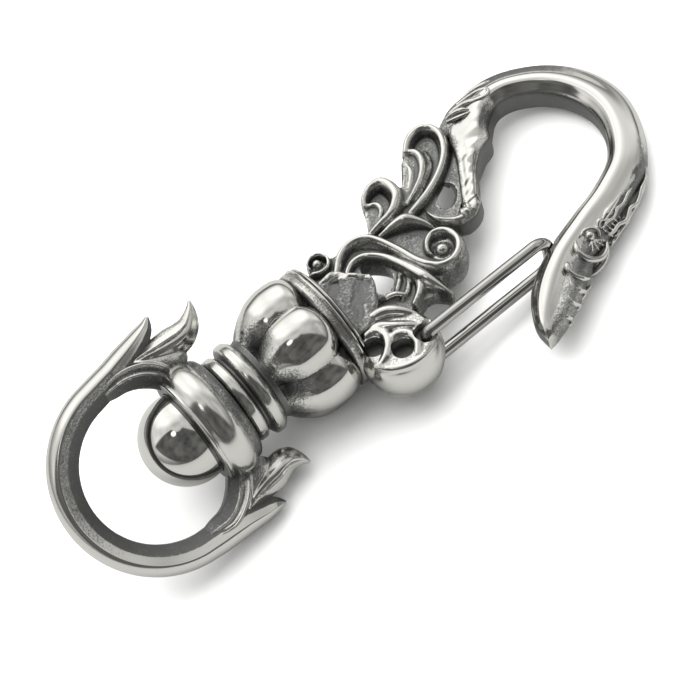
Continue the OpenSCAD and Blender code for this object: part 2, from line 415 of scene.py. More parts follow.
def bent(bar: Obj, rows: Rows) -> Obj:
    """Bends a straight bar along its path in the hook's plane.

    Args:
        bar: The straight bar.
        rows: Rows of the path, which start with (x, y).

    Returns:
        The same object, bent.
    """
    guide = polyline([(row[0], row[1], 0, 1) for row in rows])
    guide.data.twist_mode = "Z_UP"
    applied(bar, "CURVE", object=guide, deform_axis="POS_X")
    bpy.data.objects.remove(guide)
    return bar


def on_bar(bar: Obj, rows: Rows) -> tuple[Array, Array, Array]:
    """Where the vertices of a straight bar lie on it.

    Args:
        bar: The straight bar.
        rows: Rows (x, y, width, thickness) of its path.

    Returns:
        Place across it as a share of its width, share of its half thickness, and row number.
    """
    place, _ = points_of(bar)
    way = along(rows)
    width, thick = (np.interp(place[:, 0], way, [row[k] for row in rows]) for k in (2, 3))
    number = np.interp(place[:, 0], way, np.arange(len(rows)))
    return place[:, 1] / width, np.abs(place[:, 2]) / thick * 2, number


def beside(spots: Array, rows: Rows) -> Array:
    """Where spots lie across a bent bar.

    Args:
        spots: One row (x, y) for each spot.
        rows: Rows (x, y, width, thickness) of the bar's path.

    Returns:
        Distance to the left of the path, as a share of the bar's width there.
    """
    line, start = np.array([row[:2] for row in rows]), along(rows)
    nearest = np.full(len(spots), np.inf)
    way, offset = np.zeros(len(spots)), np.zeros(len(spots))
    for a, b, passed in zip(line, line[1:], start):
        step, away = b - a, spots - a
        size = np.hypot(*step)
        share = np.clip((away @ step) / size ** 2, 0, 1)
        gap = np.hypot(*(away - share[:, None] * step).T)
        side = np.sign(step[0] * away[:, 1] - step[1] * away[:, 0])
        closer = gap < nearest
        nearest[closer] = gap[closer]
        way[closer] = passed + share[closer] * size
        offset[closer] = gap[closer] * side[closer]
    return offset / np.interp(way, start, [row[2] for row in rows])


def tube(name: str, rows: Rows, sides: int) -> Obj:
    """A round, tapering rod through space.

    Args:
        name: Name of the object.
        rows: Rows (x, y, z, radius).
        sides: Steps in a quarter of its round.

    Returns:
        The mesh.
    """
    wire = polyline(rows)
    wire.data.bevel_depth = 1.0
    wire.data.bevel_resolution = sides
    wire.data.use_fill_caps = True
    bpy.ops.object.convert(target="MESH")
    return closed_up(added(name))


def tubes(lines: dict[str, Rows], n: int, sides: int) -> list[Obj]:
    """One smooth rod for each line of a table."""
    return [tube(name, smooth(rows, n), sides) for name, rows in lines.items()]


def slab(name: str, outline: Rows, low: float, high: float) -> Obj:
    """A flat plate with this outline, from one height to another.

    Args:
        name: Name of the object.
        outline: Points (x, y).
        low: Its lower face.
        high: Its upper face.

    Returns:
        The plate.
    """
    plate = polygon(name, [(x, y, low) for x, y in outline])
    with editing(plate):
        bpy.ops.mesh.extrude_region_move(TRANSFORM_OT_translate={"value": (0, 0, high - low)})
    return closed_up(plate)


def ball(name: str, centre: Row, r: float, n: int = 32) -> Obj:
    """A ball.

    Args:
        name: Name of the object.
        centre: Its centre.
        r: Its radius.
        n: Its segments.

    Returns:
        The ball.
    """
    clear()
    bpy.ops.mesh.primitive_uv_sphere_add(segments=n, ring_count=n // 2, radius=r)
    obj = added(name)
    obj.data.transform(Matrix.Translation(centre))
    return obj


def rod(name: str, centre: Row, r: float, length: float, sides: int = 48) -> Obj:
    """An upright cylinder.

    Args:
        name: Name of the object.
        centre: Its middle.
        r: Its radius.
        length: Its length.
        sides: Number of sides of its round.

    Returns:
        The cylinder.
    """
    clear()
    bpy.ops.mesh.primitive_cylinder_add(vertices=sides, radius=r, depth=length)
    obj = added(name)
    obj.data.transform(Matrix.Translation(centre))
    return obj


def mirrored(name: str, parts: Sequence[Obj]) -> Obj:
    """Joins forms and adds the same on the other face of the clasp.

    Args:
        name: Name of the result.
        parts: Forms drawn on the upper face.

    Returns:
        One object with both faces' forms.
    """
    upper = take(joined(name, parts))
    bpy.ops.object.duplicate()
    lower = bpy.context.object
    lower.data.transform(Matrix.Diagonal((1, 1, -1, 1)))
    return joined(name, [upper, closed_up(lower)])


def cast(name: str, parts: Sequence[Obj], grain: float, rounds: int) -> Obj:
    """Fuses overlapping forms to one casting with soft inner corners.

    Args:
        name: Name of the result.
        parts: The forms.
        grain: Size of the fused mesh's faces.
        rounds: How often the fused skin is smoothed.

    Returns:
        The casting.
    """
    whole = joined(name, parts)
    applied(whole, "REMESH", mode="VOXEL", voxel_size=grain)
    return applied(whole, "SMOOTH", factor=0.5, iterations=rounds)


def points_of(obj: Obj) -> tuple[Array, Array]:
    """Places and normals of an object's vertices.

    Args:
        obj: The mesh object.

    Returns:
        Two arrays with one row (x, y, z) for each vertex.
    """
    n = len(obj.data.vertices)
    place, normal = np.zeros(n * 3), np.zeros(n * 3)
    obj.data.vertices.foreach_get("co", place)
    obj.data.vertices.foreach_get("normal", normal)
    return place.reshape(n, 3), normal.reshape(n, 3)


def about_axis(obj: Obj) -> tuple[Array, Array]:
    """Station of each vertex on the long axis, and its distance from it.

    Args:
        obj: The mesh object.

    Returns:
        One number for each vertex, twice.
    """
    place, _ = points_of(obj)
    return place[:, 0], np.hypot(place[:, 1], place[:, 2])


def moved(obj: Obj, place: Array) -> None:
    """Puts an object's vertices at these places."""
    obj.data.vertices.foreach_set("co", place.ravel())
    obj.data.update()


def hollows(obj: Obj, rounds: int) -> Array:
    """How far each vertex lies below its surroundings, averaged over a number of rounds.

    Args:
        obj: A mesh of even faces.
        rounds: How far the surroundings reach.

    Returns:
        Depth in millimetres; ridges are below zero.
    """
    place, normal = points_of(obj)
    n = len(place)
    ends = np.zeros(len(obj.data.edges) * 2, int)
    obj.data.edges.foreach_get("vertices", ends)
    a, b = ends[0::2], ends[1::2]
    count = np.maximum(np.bincount(a, minlength=n) + np.bincount(b, minlength=n), 1)[:, None]
    soft = place.copy()
    for _ in range(rounds):
        total = np.stack([np.bincount(a, soft[b, k], n) + np.bincount(b, soft[a, k], n)
                          for k in range(3)], 1)
        soft = (soft + total / count) / 2
    return ((soft - place) * normal).sum(1)


def blacken(obj: Obj, *amounts: Array) -> None:
    """Keeps how black each vertex is as a mesh attribute: real blackening, and on some pieces painted shade
    and painted light.

    Args:
        obj: The mesh object.
        amounts: From 0 for bright to 1 for black, one number for each vertex; the blackest counts.
    """
    layer = obj.data.attributes.new("patina_and_painted_light", "FLOAT", "POINT")
    layer.data.foreach_set("value", np.clip(np.maximum.reduce(amounts), 0, 1).astype(np.float32))


# Finishes


@dataclass(frozen=True)
class Graph:
    """A shader tree in the making."""

    tree: bpy.types.NodeTree

    def feed(self, node: bpy.types.Node, inputs: dict[str | int, object]) -> None:
        """Fills a node's inputs.

        Args:
            node: The node.
            inputs: Sockets to link and plain values to set, by the input's name or number.
        """
        for key, value in inputs.items():
            if isinstance(value, Socket):
                self.tree.links.new(value, node.inputs[key])
            else:
                node.inputs[key].default_value = value

    def node(self, kind: str, inputs: dict[str | int, object], **settings: object) -> bpy.types.Node:
        """Adds a node.

        Args:
            kind: Its type, without the word ShaderNode.
            inputs: Sockets and plain values for its inputs.
            settings: Its own settings.

        Returns:
            The node.
        """
        node = self.tree.nodes.new(f"ShaderNode{kind}")
        for key, value in settings.items():
            setattr(node, key, value)
        self.feed(node, inputs)
        return node

    def math(self, operation: str, *values: object) -> Socket:
        """Adds Math nodes.

        Args:
            operation: What they do.
            values: Two or more sockets or numbers, which are taken in turn.

        Returns:
            The result.
        """
        made = values[0]
        for value in values[1:]:
            made = self.node("Math", {0: made, 1: value}, operation=operation).outputs[0]
        return made

    def add(self, *values: object) -> Socket:
        """Sum of sockets and numbers."""
        return self.math("ADD", *values)

    def times(self, *values: object) -> Socket:
        """Product of sockets and numbers."""
        return self.math("MULTIPLY", *values)

    def step(self, value: Socket, low: float, high: float) -> Socket:
        """A soft step from 0 at low to 1 at high."""
        limits = {"Value": value, "From Min": low, "From Max": high}
        return self.node("MapRange", limits, interpolation_type="SMOOTHSTEP").outputs["Result"]

    def noise(self, coordinates: str, scale: object, detail: float) -> Socket:
        """Noise from 0 to 1 on one kind of texture coordinates."""
        place = self.node("TexCoord", {}).outputs[coordinates]
        return self.node("TexNoise", {"Vector": place, "Scale": scale, "Detail": detail}).outputs["Fac"]

    def swing(self, noise: Socket, reach: float) -> Socket:
        """Noise brought about 0 and stretched."""
        return self.times(self.math("SUBTRACT", noise, 0.5), reach)


@dataclass(frozen=True)
class Finish:
    """Polished white metal, blackened where the mesh attribute says so: real blackening, and on some pieces
    painted shade and painted light.
    """

    name: str
    slot: Slot
    bright: tuple[float, float, float] = (0.69, 0.685, 0.655)
    black: tuple[float, float, float] = (0.185, 0.19, 0.186)
    gloss: float = 0.13          # roughness of the polished metal
    matt: float = 0.42           # roughness of the blackened metal
    ragged: float = 0.6          # how far noise breaks up the patina's edge
    grain_mm: float = 0.22       # size of the cast grain
    grain_depth: float = 0.05    # height of the cast grain, in millimetres
    waves: float = 1.6           # height of the hand-worked waves, as a multiple of the grain's

    def material(self) -> bpy.types.Material:
        """Builds the finish once and hands it out from then on.

        Returns:
            The material.
        """
        made = bpy.data.materials.get(self.name)
        if made:
            return made
        made = bpy.data.materials.new(self.name)
        made.use_nodes = True
        graph = Graph(made.node_tree)
        patina_and_painted_light = graph.node("Attribute", {}, attribute_name="patina_and_painted_light").outputs["Fac"]
        grain = 1 / (self.grain_mm * MM)
        ageing_and_painted_light = {"Patina and painted light": patina_and_painted_light, "Ragged": self.ragged, "Grain": grain, "Waves": self.waves}
        cast_skin = graph.node("Group", ageing_and_painted_light, node_tree=patina_group()).outputs
        mask = cast_skin["Mask"]
        polish = {"Mask": mask, "Gloss": self.gloss, "Matt": self.matt}
        wear = graph.node("Group", polish, node_tree=handling_group()).outputs
        tones = {0: mask, 6: (*self.bright, 1), 7: (*self.black, 1)}
        colour = graph.node("Mix", tones, data_type="RGBA").outputs
        relief = {"Height": cast_skin["Height"], "Distance": self.grain_depth * MM, "Strength": 1.0}
        bump = graph.node("Bump", relief).outputs
        graph.feed(graph.tree.nodes["Principled BSDF"], {
            "Metallic": 1.0, "Base Color": colour[2],
            "Roughness": wear["Roughness"], "Normal": bump["Normal"]})
        return made

    def dress(self, obj: Obj) -> None:
        """Gives an object this finish alone."""
        obj.data.materials.clear()
        obj.data.materials.append(self.material())


def new_group(name: str, ins: dict[str, float],
              outs: Sequence[str]) -> tuple[Graph, bpy.types.NodeOutputs, bpy.types.Node]:
    """Starts a shader node group.

    Args:
        name: Its name.
        ins: Names of its inputs, with their values.
        outs: Names of its outputs.

    Returns:
        The group, what it is given, and its output node.
    """
    tree = bpy.data.node_groups.new(name, "ShaderNodeTree")
    for key, value in ins.items():
        socket = tree.interface.new_socket(key, in_out="INPUT", socket_type="NodeSocketFloat")
        socket.default_value = value
    for key in outs:
        tree.interface.new_socket(key, in_out="OUTPUT", socket_type="NodeSocketFloat")
    return Graph(tree), tree.nodes.new("NodeGroupInput").outputs, tree.nodes.new("NodeGroupOutput")


def patina_group() -> bpy.types.NodeTree:
    """Breaks up the patina's edge with grain and gives the cast grain's height.

    Returns:
        The node group, built once.
    """
    made = bpy.data.node_groups.get("Ragged patina")
    if made:
        return made
    values = {"Patina and painted light": 0.0, "Ragged": 0.5, "Grain": 5000.0, "Waves": 1.0}
    group, given, result = new_group("Ragged patina", values, ("Mask", "Height"))
    fine = group.noise("Object", given["Grain"], FINE_DETAIL)
    blotches = group.noise("Object", BLOTCH_SCALE, FINE_DETAIL)
    spread = group.add(group.swing(fine, 1.6), group.swing(blotches, 0.8))
    edge = group.add(given["Patina and painted light"], group.times(spread, given["Ragged"]))
    # Low amounts fade the blackening out: bare worn metal, and on the hoop's lower side painted light.
    worn_and_lit = group.math("MINIMUM", group.times(given["Patina and painted light"], 8.0), 1.0)
    mask = group.times(group.step(edge, 0.15, 0.85), worn_and_lit)
    waves = group.times(group.noise("Object", WAVE_SCALE, WAVE_DETAIL), given["Waves"])
    group.feed(result, {"Mask": mask, "Height": group.add(group.times(fine, mask), waves)})
    return group.tree


def handling_group() -> bpy.types.NodeTree:
    """Roughness of the metal: polished with faint handling marks, matt where it is black.

    Returns:
        The node group, built once.
    """
    made = bpy.data.node_groups.get("Handling marks")
    if made:
        return made
    values = {"Mask": 0.0, "Gloss": 0.1, "Matt": 0.4}
    group, given, result = new_group("Handling marks", values, ("Roughness",))
    smears = group.noise("Object", SMEAR_SCALE, SMEAR_DETAIL)
    rubbed = group.times(given["Gloss"], group.add(0.6, group.times(smears, 0.8)))
    gap = group.math("SUBTRACT", given["Matt"], rubbed)
    group.feed(result, {"Roughness": group.add(rubbed, group.times(gap, given["Mask"]))})
    return group.tree


CAST = Finish("Cast hook metal", Slot.HOOK)
ROUGH_CAST = Finish("Rough cast metal", Slot.HOOK, gloss=0.24, matt=0.45, grain_mm=0.3, grain_depth=0.1,
                    waves=0.8)
LOBES = Finish("Barrel metal", Slot.BARREL, gloss=0.09, ragged=0.8, waves=1.2)
RINGS = Finish("Ring metal", Slot.RING, gloss=0.14)
MIRROR = Finish("Ball metal", Slot.BALL, gloss=0.05, ragged=0.3, waves=0.2)
LEAVES = Finish("Hoop metal", Slot.HOOP, gloss=0.16)
WIRE = Finish("Gate wire metal", Slot.GATE, bright=(0.5, 0.496, 0.48), gloss=0.1, ragged=0.2, waves=0.2)


# The clasp's sub-assemblies


@dataclass
class Assembly:
    """What every sub-assembly shares: its finish, its body and how its pieces are handed over."""

    lay: Matrix
    finish: Finish
    body: Body

    def build(self) -> None:
        """Makes its pieces and hands each of them over."""
        raise NotImplementedError

    def hand_over(self, obj: Obj, *nodes: str) -> None:
        """Lays a finished piece down, dresses it and fixes it to its body.

        Args:
            obj: The finished piece, in the clasp's own frame, with its patina.
            nodes: The CAD nodes that it stands for.
        """
        obj.data.transform(self.lay)
        obj.data.update()
        take(obj)
        bpy.ops.object.shade_smooth_by_angle(angle=POLISHED_ANGLE)
        self.finish.dress(obj)
        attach(obj, self.body.value)
        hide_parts(*nodes)
        LOG.info("%s: %d faces", obj.name, len(obj.data.polygons))


# Across the hook's bar, from its inner wall over the top to its outer wall: rows (place, height)
ARM_INNER = [(-0.5, 0.0), (-0.5, 0.22), (-0.492, 0.42), (-0.47, 0.55)]
ARM_BAND = [(-0.47, 0.55), (-0.425, 0.67), (-0.365, 0.78), (-0.31, 0.885), (-0.255, 0.965)]
ARM_CROWN = [(-0.255, 0.965), (-0.165, 1.0), (-0.05, 0.985), (0.08, 0.935), (0.19, 0.87), (0.3, 0.785),
             (0.385, 0.67), (0.45, 0.5), (0.487, 0.27), (0.5, 0.0)]
# Lines carved on the nose: rows (x, y, z, radius)
NOSE_LINES = {
    "cup": [(33.6, -14.3, 2.7, .15), (33.0, -15.2, 2.7, .36), (32.9, -16.2, 2.25, .42),
            (33.6, -17.0, 1.4, .42), (34.9, -17.2, .6, .4), (36.2, -16.6, .3, .34),
            (37.1, -15.6, .4, .15)],
    "curl": [(36.3, -15.6, 2.0, .15), (36.6, -14.9, 2.3, .26), (36.1, -14.2, 2.6, .28),
             (35.2, -14.0, 2.75, .26), (34.5, -14.3, 2.7, .15)],
    "bud": [(36.9, -14.6, 2.3, .2), (37.5, -14.1, 2.5, .36), (38.2, -14.2, 2.4, .2)],
    "leaf": [(38.0, -14.3, 2.3, .2), (38.9, -13.9, 2.45, .5), (40.0, -13.5, 2.35, .46),
             (41.2, -13.1, 2.2, .3), (42.6, -12.6, 2.05, .1)],
    "leaf_edge": [(37.4, -14.9, 2.0, .12), (38.5, -14.6, 2.0, .22), (39.5, -14.5, 1.75, .2),
                  (40.6, -13.9, 1.8, .24), (41.8, -13.6, 1.5, .2), (43.2, -12.9, 1.5, .22),
                  (44.6, -12.3, 1.2, .12)],
    "flame": [(43.2, -12.5, 1.8, .12), (44.6, -11.9, 1.7, .3), (45.8, -11.1, 1.6, .4),
              (46.7, -10.3, 1.6, .3), (47.4, -9.5, 1.5, .1)],
    "wave": [(37.4, -15.7, 1.1, .15), (38.4, -15.5, .8, .28), (39.5, -15.1, .7, .3), (40.8, -15.0, .2, .3),
             (42.2, -14.2, .5, .3), (43.6, -13.9, 0, .3), (45.2, -12.9, .3, .28), (46.8, -11.9, 0, .26),
             (47.9, -10.7, .3, .12)],
    "hook": [(45.9, -11.5, 1.0, .12), (46.9, -10.8, .9, .3), (47.9, -9.8, .8, .32), (48.5, -8.8, .9, .15)],
    "lip": [(31.0, -15.8, 2.5, .12), (30.55, -16.25, 2.6, .4), (30.3, -17.0, 2.45, .34),
            (30.5, -17.7, 2.05, .32), (31.1, -18.3, 1.3, .34), (31.9, -18.5, .6, .15)],
    "lower_lip": [(29.7, -17.7, 2.0, .12), (29.4, -18.4, 1.5, .36), (29.8, -19.0, .8, .42),
                  (30.6, -19.2, 0, .2)],
    "notch": [(28.1, -19.1, 1.8, .1), (27.9, -19.6, 1.3, .32), (28.3, -20.0, .5, .32),
              (28.9, -20.2, 0, .15)],
    "tip_notch": [(26.1, -20.4, 1.5, .1), (26.2, -20.8, 1.0, .28), (26.7, -21.1, .3, .26)],
}
# Round core under the shoulder's leaves
SHOULDER_BODY = [(33.4, 10.9, 0, 1.2), (34.4, 11.3, 0, 1.85), (35.6, 11.5, 0, 2.2), (37.6, 11.75, 0, 2.35),
                 (39.6, 12.0, 0, 2.2), (41.4, 12.2, 0, 1.8), (43.0, 12.1, 0, 1.2)]
# Lines carved on the shoulder
SHOULDER_LINES = {
    "lower": [(35.5, 12.7, 1.95, .14), (36.8, 12.4, 2.35, .28), (38.0, 12.0, 2.55, .34),
              (39.1, 11.3, 2.65, .38), (40.3, 10.9, 2.7, .38), (41.1, 11.2, 2.65, .34),
              (41.2, 11.9, 2.45, .32), (40.3, 12.5, 2.3, .28), (38.8, 12.8, 2.2, .24),
              (37.2, 13.1, 2.0, .14)],
    "vein": [(37.2, 12.7, 2.25, .12), (38.6, 12.1, 2.5, .2), (39.8, 11.6, 2.6, .24),
             (40.5, 11.6, 2.5, .12)],
    "upper": [(38.2, 13.5, 1.65, .14), (39.6, 13.5, 1.75, .34), (41.0, 13.2, 1.9, .4),
              (42.2, 12.9, 1.85, .34), (43.4, 12.5, 1.7, .12)],
    "rim": [(34.2, 12.8, .6, .15), (36.0, 13.7, .6, .3), (38.4, 14.1, .6, .32), (40.8, 14.0, .5, .3),
            (42.6, 13.4, .5, .12)],
    "eye_top": [(34.8, 12.5, 1.85, .14), (36.0, 12.0, 2.4, .3), (36.9, 11.5, 2.6, .34),
                (37.6, 10.8, 2.65, .14)],
    "eye_low": [(34.5, 11.9, 2.05, .12), (35.6, 11.1, 2.5, .28), (36.7, 10.6, 2.65, .26),
                (37.5, 10.4, 2.7, .12)],
}
# Cuffs across the stem's foot, on the face that shows
CUFFS = {
    "cuff_1": [(27.0, 0.0, 2.45, .15), (26.8, -0.9, 2.7, .28), (26.7, -1.7, 2.45, .15)],
    "cuff_2": [(27.9, 0.2, 2.45, .15), (27.9, -0.7, 2.75, .28), (27.8, -1.4, 2.45, .15)],
    "cuff_knot": [(27.2, -0.4, 2.6, .15), (27.4, -1.1, 2.8, .3), (27.3, -1.7, 2.6, .15)],
}


@dataclass
class HookArm(Assembly):
    """The hook's bar, from the cuff at the scrolls round to the pointed nose."""

    rows: Rows = ((24.3, 3.9, 0.3, 3.2), (24.1, 2.5, 0.9, 4.3), (24.6, 0.9, 1.4, 4.7),
                  (25.8, -0.4, 1.8, 4.9), (27.2, -0.9, 2.3, 5.1), (28.5, -0.4, 2.5, 5.2),
                  (29.3, 1.0, 2.3, 4.6), (30.5, 2.7, 2.4, 4.5), (31.8, 4.5, 2.6, 4.7),
                  (33.2, 6.05, 3.5, 5.0), (34.7, 7.85, 4.8, 5.3), (36.3, 9.8, 5.5, 5.6),
                  (38.4, 11.4, 5.5, 5.6), (41.0, 12.0, 5.1, 5.6), (44.2, 11.2, 4.9, 5.6),
                  (47.8, 8.5, 5.0, 5.6), (50.2, 4.6, 5.2, 5.6), (50.9, 0.0, 5.1, 5.6),
                  (49.6, -4.6, 4.9, 5.6), (46.4, -8.9, 4.9, 5.5), (41.5, -11.4, 4.9, 5.4),
                  (36.8, -12.9, 5.3, 5.4), (31.6, -14.8, 5.8, 5.4), (27.6, -17.2, 6.0, 5.0),
                  (24.6, -19.6, 4.2, 4.6), (23.3, -21.0, 2.0, 3.8), (22.6, -21.8, 0.3, 2.4))
    steps: int = 8         # of the path, from one row to the next
    seat: Row = (31.2, -11.5)
    seat_r: float = 0.9

    def build(self) -> None:
        """Makes the bar and its carved leaves."""
        path = smooth(self.rows, self.steps)
        half = smooth(ARM_INNER, 3)[:-1] + smooth(ARM_BAND, 3)[:-1] + smooth(ARM_CROWN, 4)
        arm = straight("hook_arm", folded(half), path)
        across, height, row = on_bar(arm, path)
        row /= self.steps
        place, _ = points_of(arm)
        # A dish near the nose's tip and a scoop in the stem, in both faces
        dish = bell(across, 0.16, 0.13) * between(row, 20, 22, 23.5, 24.6)
        scoop = bell(across, 0.22, 0.16) * between(row, 3.5, 5, 9.5, 11)
        place[:, 2] *= 1 - (0.17 * dish + 0.07 * scoop) * ramp(0.3, 0.6, height)
        # The knee in the inner wall, where the stem meets the shoulder
        knee = 0.4 * bell(row, 10.0, 0.4) - 0.2 * bell(row, 9.0, 0.5)
        place[:, 1] -= knee * ramp(-0.1, -0.45, across)
        # The stem is boxy and dented; from there on the bar slopes to its outer side
        boxy = between(row, 2.5, 4.5, 9.4, 12.6)
        slope = ramp(-0.1, 0.3, across) * ramp(0.3, 0.5, height) * ramp(18.5, 16.5, row) * (1 - boxy)
        place[:, 2] *= 1 - 0.17 * slope
        dents = (0.045 * np.sin(4.4 * row + 2.0) * np.sin(7.0 * across + 3.1 * row)
                 + 0.055 * np.sin(2.3 * row + 0.6) * np.cos(4.0 * across + 0.8 * row))
        place[:, 2] *= np.maximum(height, 0.02) ** (-0.5 * boxy) * (1 + dents * boxy)
        # Bevel under the claw at the scrolls and the foot of the stem
        draft = ramp(0.3, -0.5, across) * ramp(0.0, -2.4, place[:, 2]) * between(row, 1.5, 3.5, 7.0, 9.0)
        place[:, 1] += 0.9 * draft
        moved(arm, place)
        bent(arm, path)
        blacken(arm, *self.patina_and_painted_light(across, height, row))
        cut(arm, [rod("seat", (*self.seat, 0), self.seat_r, length=12)])
        self.hand_over(arm, "hook_casting")
        self.nose_leaves()
        self.shoulder_leaves()

    def patina_and_painted_light(self, across: Array, height: Array, row: Array) -> list[Array]:
        """How black the bar is.

        Args:
            across: Place across the bar, -0.5 at its inner wall.
            height: Share of its half thickness.
            row: Place along the bar, as a row number of its table.

        Returns:
            Several amounts from 0 for bright to 1 for black; the blackest counts.
        """
        band = ramp(-0.24, -0.31, across) * ramp(0.5, 0.58, height) * (0.4 + 0.35 * ramp(12.6, 11.6, row))
        edge = 0.3 + 0.05 * np.sin(row * 9.0) - 0.18 * bell(row, 21.8, 0.7)
        return [
            band * between(row, 9.5, 11.0, 12.0, 13.4),                             # inner bevel
            ramp(0.6, 0.5, height) * ramp(-0.44, -0.47, across) * 0.95,             # inner wall
            between(row, 11.2, 12.0, 14.8, 16.4) * ramp(0.03, 0.1, across) * 0.9,   # arch's outer side
            between(row, 3.0, 4.5, 9.8, 11.0) * ramp(0.16, 0.42, across) * 0.6,     # stem
            ramp(4.5, 3.5, row) * ramp(0.75, 0.5, height) * 0.9,                    # claw at the scrolls
            ramp(11.0, 9.0, row) * ramp(0.7, 0.4, height) * 0.6,                    # stem's sides
            between(row, 10.6, 11.2, 12.8, 13.8) * ramp(0.04, 0.14, across) * 0.7,  # shoulder
            between(row, 18.2, 19.2, 22.4, 23.6) * ramp(0.0, 0.08, across - edge) * 0.8,  # nose's carving
            between(row, 21.6, 22.2, 25.0, 26.0) * ramp(0.06, 0.24, across) * 0.6,  # stripe to the tip
            between(row, 20.0, 22.0, 23.5, 24.6) * bell(across, 0.1, 0.09) * 0.12,  # streak in the dish
        ]

    def nose_leaves(self) -> None:
        """The curl, leaf and lip carved on the outer side of the nose."""
        parts = tubes(NOSE_LINES, n=5, sides=4)
        parts.append(ball("bead", (35.4, -14.85, 2.35), 0.6))
        strokes = 16
        for k in range(strokes + 1):
            t = k / strokes
            x, y, z = 37.2 + 10.0 * t, -15.1 + 4.7 * t + 0.5 * t * t, 1.8 - 0.4 * t
            parts.append(tube("hatch", [(x, y + 0.35, z + 0.35, .1), (x + 0.4, y - 0.3, z - 0.5, .14),
                                        (x + 0.8, y - 0.6, z - 1.5, .12)], sides=3))
        for angle in range(200, 321, 30):
            a = math.radians(angle)
            x, y = 35.3 + 1.6 * math.cos(a), -15.5 + 1.3 * math.sin(a)
            parts.append(tube("hatch", [(35.3, -15.4, 2.15, .1), (x, y, 1.65, .13)], sides=3))
        leaves = cast("nose_leaves", [mirrored("nose_leaves", parts)], grain=0.09, rounds=3)
        blacken(leaves, ramp(0.0, 0.05, hollows(leaves, rounds=12)) * 0.8)
        self.hand_over(leaves, "hook_casting")

    def shoulder_leaves(self) -> None:
        """The leaves carved on the outer side of the shoulder, and the cuffs at the stem's foot."""
        body = tube("shoulder", smooth(SHOULDER_BODY, 5), sides=10)
        leaves = mirrored("shoulder_leaves", tubes(SHOULDER_LINES, n=5, sides=4))
        leaves = cast("shoulder_leaves", [leaves, body, *tubes(CUFFS, n=5, sides=4)], grain=0.1, rounds=2)
        (x, y, z), deep = points_of(leaves)[0].T, hollows(leaves, rounds=12)
        ground = 0.48 + 0.2 * ramp(2.4, 1.6, np.abs(z)) - 0.6 * ramp(0.0, -0.05, deep)
        bright = ramp(11.4, 10.6, y) * ramp(37.5, 39.0, x)
        blacken(leaves, ground * ramp(32.0, 33.0, x) * (1 - bright), ramp(0.0, 0.05, deep) * 0.9)
        self.hand_over(leaves, "hook_casting")


# Upright section of a scroll's rim at unit width and height
RIM_SIDE = [(0.5, 0.38), (0.44, 0.54), (0.38, 0.7), (0.3, 0.85), (0.2, 0.95), (0.08, 0.995), (0.0, 1.0)]
# The scrolls' rims: rows (x, y, share of its size), share of the usual width, and of the height
SCROLL_RIMS = {
    "s_scroll": (((8.9, 2.9, .7), (10.6, 4.3, .9), (11.8, 5.4, 1), (13.2, 6.1, 1), (14.8, 6.1, 1),
                  (16.2, 5.3, 1), (17.1, 3.6, 1), (17.9, 0.9, 1), (18.4, -1.7, 1.05), (19.1, -3.5, 1.1),
                  (20.1, -4.7, 1.1), (21.5, -5.1, 1.1), (23.0, -4.5, 1.05), (24.0, -3.2, 1),
                  (24.1, -1.7, .95), (23.4, -0.5, .9), (22.2, -0.1, .85), (21.1, -0.6, .8),
                  (20.4, -1.6, .6), (20.5, -2.4, .35)), 1.0, 1.0),
    "inner_scroll": (((10.6, 2.4, .6), (11.4, 3.3, .8), (12.6, 3.9, .9), (13.9, 3.8, .95), (15.0, 3.0, 1),
                      (16.1, 1.4, 1.05), (16.8, -0.7, 1.2), (17.2, -2.6, 1.5), (17.6, -4.6, 1.6),
                      (18.2, -6.7, .9), (18.6, -8.5, .2)), 0.95, 0.88),
    "down_branch": (((17.2, -3.0, 1.2), (16.9, -4.3, 1.2), (16.0, -5.4, 1), (14.2, -6.3, .6)), 0.9, 0.82),
    "lower_tip": (((16.6, -4.8, .9), (17.4, -6.0, .9), (18.4, -7.0, .7), (18.9, -8.2, .2)), 0.8, 0.8),
    "tall_scroll": (((20.0, 3.5, .5), (21.8, 4.1, .8), (23.8, 4.5, .95), (26.0, 5.1, 1), (28.6, 6.3, 1),
                     (30.7, 7.8, 1.05), (32.0, 9.4, 1.1), (32.7, 11.3, 1.1), (32.3, 12.9, 1.1),
                     (31.0, 13.6, 1.1), (29.3, 13.2, 1.1), (27.7, 11.9, .8)), 1.0, 1.0),
    "tall_leaf": (((23.0, 5.9, .4), (25.2, 6.8, .8), (26.9, 7.7, 1), (28.2, 9.0, 1.15), (28.8, 10.5, 1.15),
                   (28.5, 11.6, 1), (27.5, 11.8, .6)), 0.85, 0.92),
    "small_scroll": (((16.4, 5.6, .5), (18.6, 5.8, .9), (20.2, 5.9, 1.1), (21.7, 6.5, 1.3),
                      (22.8, 7.6, 1.4), (23.1, 9.3, 1.4), (22.6, 10.7, 1.3), (21.3, 11.0, 1.1),
                      (19.9, 10.5, .9), (18.9, 9.3, .5)), 1.0, 1.0),
    "middle_leaf": (((16.8, 4.8, .3), (18.2, 4.5, .8), (19.7, 4.3, 1.3), (21.2, 3.8, 1.7),
                     (22.1, 2.9, 1.3), (22.8, 1.7, .9), (23.2, 0.4, .4)), 0.9, 0.92),
}
